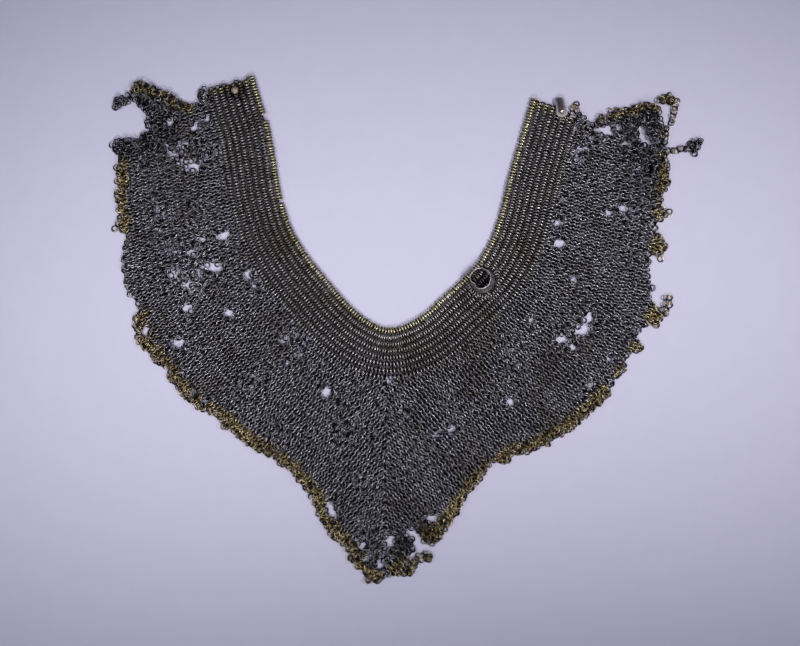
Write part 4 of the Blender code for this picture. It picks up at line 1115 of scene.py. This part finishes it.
def ring_in_band():
    """Slanting wall carried round the axis: R(h) = foot + slope h outside and a wall's thickness less
    inside, round at the rim, and pushed in by a bell of the angle that grows with the height."""
    sides = 112
    half = RING_WALL / 2
    slope = (RING_DIAMETER - RING_FOOT_DIAMETER) / 2 / RING_HEIGHT
    up = np.linspace(0, RING_HEIGHT - half, 9)
    bend = np.linspace(0, math.pi, 9)[1:-1]
    height = np.concatenate([up, RING_HEIGHT - half + half * np.sin(bend), up[::-1], [0.0]])
    aside = np.concatenate([np.full(9, half), half * np.cos(bend), np.full(9, -half), [half]])
    middle = RING_FOOT_DIAMETER / 2 + slope * height - half
    around = np.arange(sides) * math.tau / sides
    near = np.abs(np.remainder(around - RING_DENT_TURN + math.pi, math.tau) - math.pi)
    dent = RING_DENT * np.exp(-((near / 0.42) ** 1.5))
    wave = 0.00018 * np.sin(5 * around + 1) + 0.00012 * np.sin(9 * around)
    share = np.clip(height / RING_HEIGHT, 0, 1)
    up = share[:, None]
    rough = 0.00022 * np.sin(17 * around[None] + 9 * up) * np.sin(7 * up + 4 * around[None])
    out = middle[:, None] + aside[:, None] + (wave - dent)[None] * up + rough * (up < 0.9)
    level = height[:, None] + 0.0003 * np.sin(2 * around + 0.6)[None] * up
    local = np.stack([out * np.cos(around), out * np.sin(around), level, np.ones_like(out)], axis=-1)
    points = (local.reshape(-1, 4) @ ring_points(*RING_PLACE).T)[:, :3]
    quads = outward(points, closed_loops(out.shape))
    # Painted light and shade: the rim brightest, the outer wall light and the inner wall dark
    worn = np.repeat(np.where(share > 0.95, 1.0, np.where(aside > 0, 0.80, 0.35)), sides)
    tone = np.clip(0.5 + 0.3 * np.sin(4 * around)[None] + 0 * out, 0, 1).ravel()
    piece_from("band_ring_wall", points, quads, ring_iron, ["band_ring"], tone, worn)


def strap_leaf(name, line, widths, bow, worn, metal):
    """Flat strap carried along a line of length and height: at each place its section is the rounded
    flat loop (w cos t, h sin t), bowed up across its width, and at both ends it is drawn in to a point."""
    sides = 20
    line, ahead = [np.pad(part, ((1, 1), (0, 0)), mode="edge") for part in (line, directions(line))]
    widths, worn = [np.pad(part, 1, mode="edge") for part in (widths, worn)]
    full = np.pad(np.ones(len(line) - 2), 1)[:, None]
    up = np.column_stack([-ahead[:, 1], ahead[:, 0]])
    t = np.arange(sides) * math.tau / sides
    flat = np.sign(np.cos(t)) * np.abs(np.cos(t)) ** 0.6
    thick = LEAF_THICKNESS / 2 * np.sign(np.sin(t)) * np.abs(np.sin(t)) ** 0.6
    across = widths[:, None] / 2 * flat[None] * full
    lift = thick[None] * full + bow * (np.abs(across) / widths.max() * 2) ** 2
    along = line[:, :1] + up[:, :1] * lift
    height = line[:, 1:] + up[:, 1:] * lift
    local = np.stack([across, along, height, np.ones_like(across)], axis=-1).reshape(-1, 4)
    points = (local @ tab_points().T)[:, :3]
    quads = outward(points, closed_loops(across.shape))
    # The leaf's edges are painted lighter, on top of the shares given along its length
    light_and_wear = np.clip(worn[:, None] + 0.35 * np.abs(flat)[None] ** 6 - 0.15, 0, 1)
    close_poles(piece_from(name, points, quads, metal, ["strap_tab"], None, light_and_wear.ravel()))


def strap_end():
    """Broad tongue with a round end, rolled at its top, and the narrow strip that lies on it."""
    foot = TAB_SLIP + TAB_RETURN + TAB_FOLD_DIAMETER / 2 - TAB_LENGTH
    bend = TAB_SLIP + TAB_RETURN
    low = TAB_SEAT + LEAF_THICKNESS / 2
    radius = TAB_FOLD_DIAMETER / 2 - LEAF_THICKNESS / 2
    angles = np.linspace(math.pi / 2, -math.pi / 2, 14)
    # Tongue: from its round end up to the fold
    part = np.linspace(0, 1, 30) ** 1.4
    length = foot + part * (bend - foot)
    past = 1 - np.clip((length - foot) / (TAB_WIDTH / 2), 0.0004, 1)
    widths = TAB_WIDTH * np.sqrt(np.clip(1 - past**2, 0, 1))
    past = np.clip((length - foot - TAB_WIDTH * 0.45) / (bend - foot), 0, 1)
    widths *= 1 + (TAB_TOP_WIDTH / TAB_WIDTH - 1) * past
    line = np.column_stack([length, np.full(30, low)])
    strap_leaf("strap_tongue", line, widths, 0.0003, np.linspace(1.0, 0.5, 30), tongue_iron)
    # Strip: from past the rivet up over the fold and back under it
    start = foot + RIVET_FROM_FOOT - 0.0022
    length = start + np.linspace(0, 1, 24) * (bend - start)
    top = low + LEAF_THICKNESS + 0.00005
    line = np.concatenate([
        np.column_stack([length, np.full(24, top)]),
        np.column_stack([bend + radius * np.cos(angles), top - radius + radius * np.sin(angles)]),
        [[TAB_SLIP, top - 2 * radius]],
    ])
    widths = np.full(len(line), TAB_TOP_WIDTH)
    widths[:24] = TAB_TOP_WIDTH * (1 + 0.10 * np.cos(np.linspace(0, math.pi, 24)))
    widths[:6] *= np.sqrt(np.linspace(0.04, 1, 6))
    widths[-1] *= 0.9
    worn = np.concatenate([np.linspace(0.7, 0.5, 24), np.full(15, 0.75)])
    strap_leaf("strap_strip", line, widths, -0.0002, worn, strip_iron)
    at = tab_points() @ np.array([0, foot + RIVET_FROM_FOOT, 0, 1])
    rivet_head(
        "tab_rivet", at, RIVET_SEAT, RIVET_DIAMETER, RIVET_HEIGHT, 0.0013, 0.0001, rivet_bright,
        7)


rivet_head(
    "collar_stud", stud_middle, BAND_THICKNESS + 0.0003, STUD_DIAMETER, STUD_HEIGHT, 0.0022, 0.0003,
    stud_copper, 5)
ring_in_band()
strap_end()


# Floor, lights and camera

def backdrop_finish():
    """Pale lavender paper with a faint grain."""
    finish = bpy.data.materials.new("backdrop_paper")
    finish.use_nodes = True
    tree = finish.node_tree
    shader = tree.nodes["Principled BSDF"]
    place = tree.nodes.new("ShaderNodeTexCoord").outputs["Object"]
    grain = noise_node(tree, place, 60, 5)
    first, second = tree.nodes.new("ShaderNodeRGB"), tree.nodes.new("ShaderNodeRGB")
    first.outputs[0].default_value = (0.60, 0.58, 0.72, 1)
    second.outputs[0].default_value = (0.64, 0.62, 0.76, 1)
    tree.links.new(blended(tree, grain, first.outputs[0], second.outputs[0]), shader.inputs["Base Color"])
    shader.inputs["Roughness"].default_value = 0.85
    shader.inputs["Specular IOR Level"].default_value = 0.2
    return finish


floor_mesh = bpy.data.meshes.new("floor")
half = FLOOR_SIZE / 2
floor_corners = [(-half, -half, 0), (half, -half, 0), (half, half, 0), (-half, half, 0)]
floor_mesh.from_pydata(floor_corners, [], [(0, 1, 2, 3)])
floor = bpy.data.objects.new("floor", floor_mesh)
floor.location.z = -0.0002
bpy.context.scene.collection.objects.link(floor)
floor_mesh.materials.append(backdrop_finish())
floor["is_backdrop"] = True


def soft_light(name, place, aim, size, power, colour):
    """Area light of a size, aimed at a point of the floor."""
    lamp = bpy.data.lights.new(name, "AREA")
    lamp.shape = "RECTANGLE"
    lamp.size, lamp.size_y = size
    lamp.energy = power
    lamp.spread = LIGHT_SPREAD
    lamp.color = colour
    light = bpy.data.objects.new(name, lamp)
    light.location = place
    light.rotation_euler = (Vector((*aim, 0.0)) - Vector(place)).to_track_quat("-Z", "Y").to_euler()
    bpy.context.scene.collection.objects.link(light)


soft_light("light_left", (-0.80, -0.10, 1.25), (-0.311, -0.013), (0.50, 0.50), 0.487, (1.0, 0.98, 0.97))
soft_light("light_right", (0.85, -0.10, 1.25), (0.265, 0.041), (0.50, 0.50), 0.726, (1.0, 0.98, 0.97))
soft_light("light_low", (0.0, -0.75, 1.20), (-0.1, 0.074), (0.45, 0.40), 0.368, (0.97, 0.97, 1.0))

world = bpy.data.worlds.new("studio")
world.use_nodes = True
world.node_tree.nodes["Background"].inputs["Color"].default_value = (0.62, 0.66, 0.95, 1)
world.node_tree.nodes["Background"].inputs["Strength"].default_value = 0.22
bpy.context.scene.world = world
bpy.context.scene.view_settings.view_transform = "Standard"

METRES_A_PIXEL = 0.0008
CAMERA_HEIGHT = 2.4
seen_middle = plan_place((400 - 393) / 600, (323 - 75) / 510)
lens = bpy.data.cameras.new("camera")
lens.sensor_width = 36.0
lens.lens = 36.0 * CAMERA_HEIGHT / (800 * METRES_A_PIXEL)
camera = bpy.data.objects.new("camera", lens)
camera.location = (seen_middle[0], seen_middle[1], CAMERA_HEIGHT)
bpy.context.scene.collection.objects.link(camera)
bpy.context.scene.camera = camera

{"cad": cad_box, "visual": [list(corner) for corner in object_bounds()]}
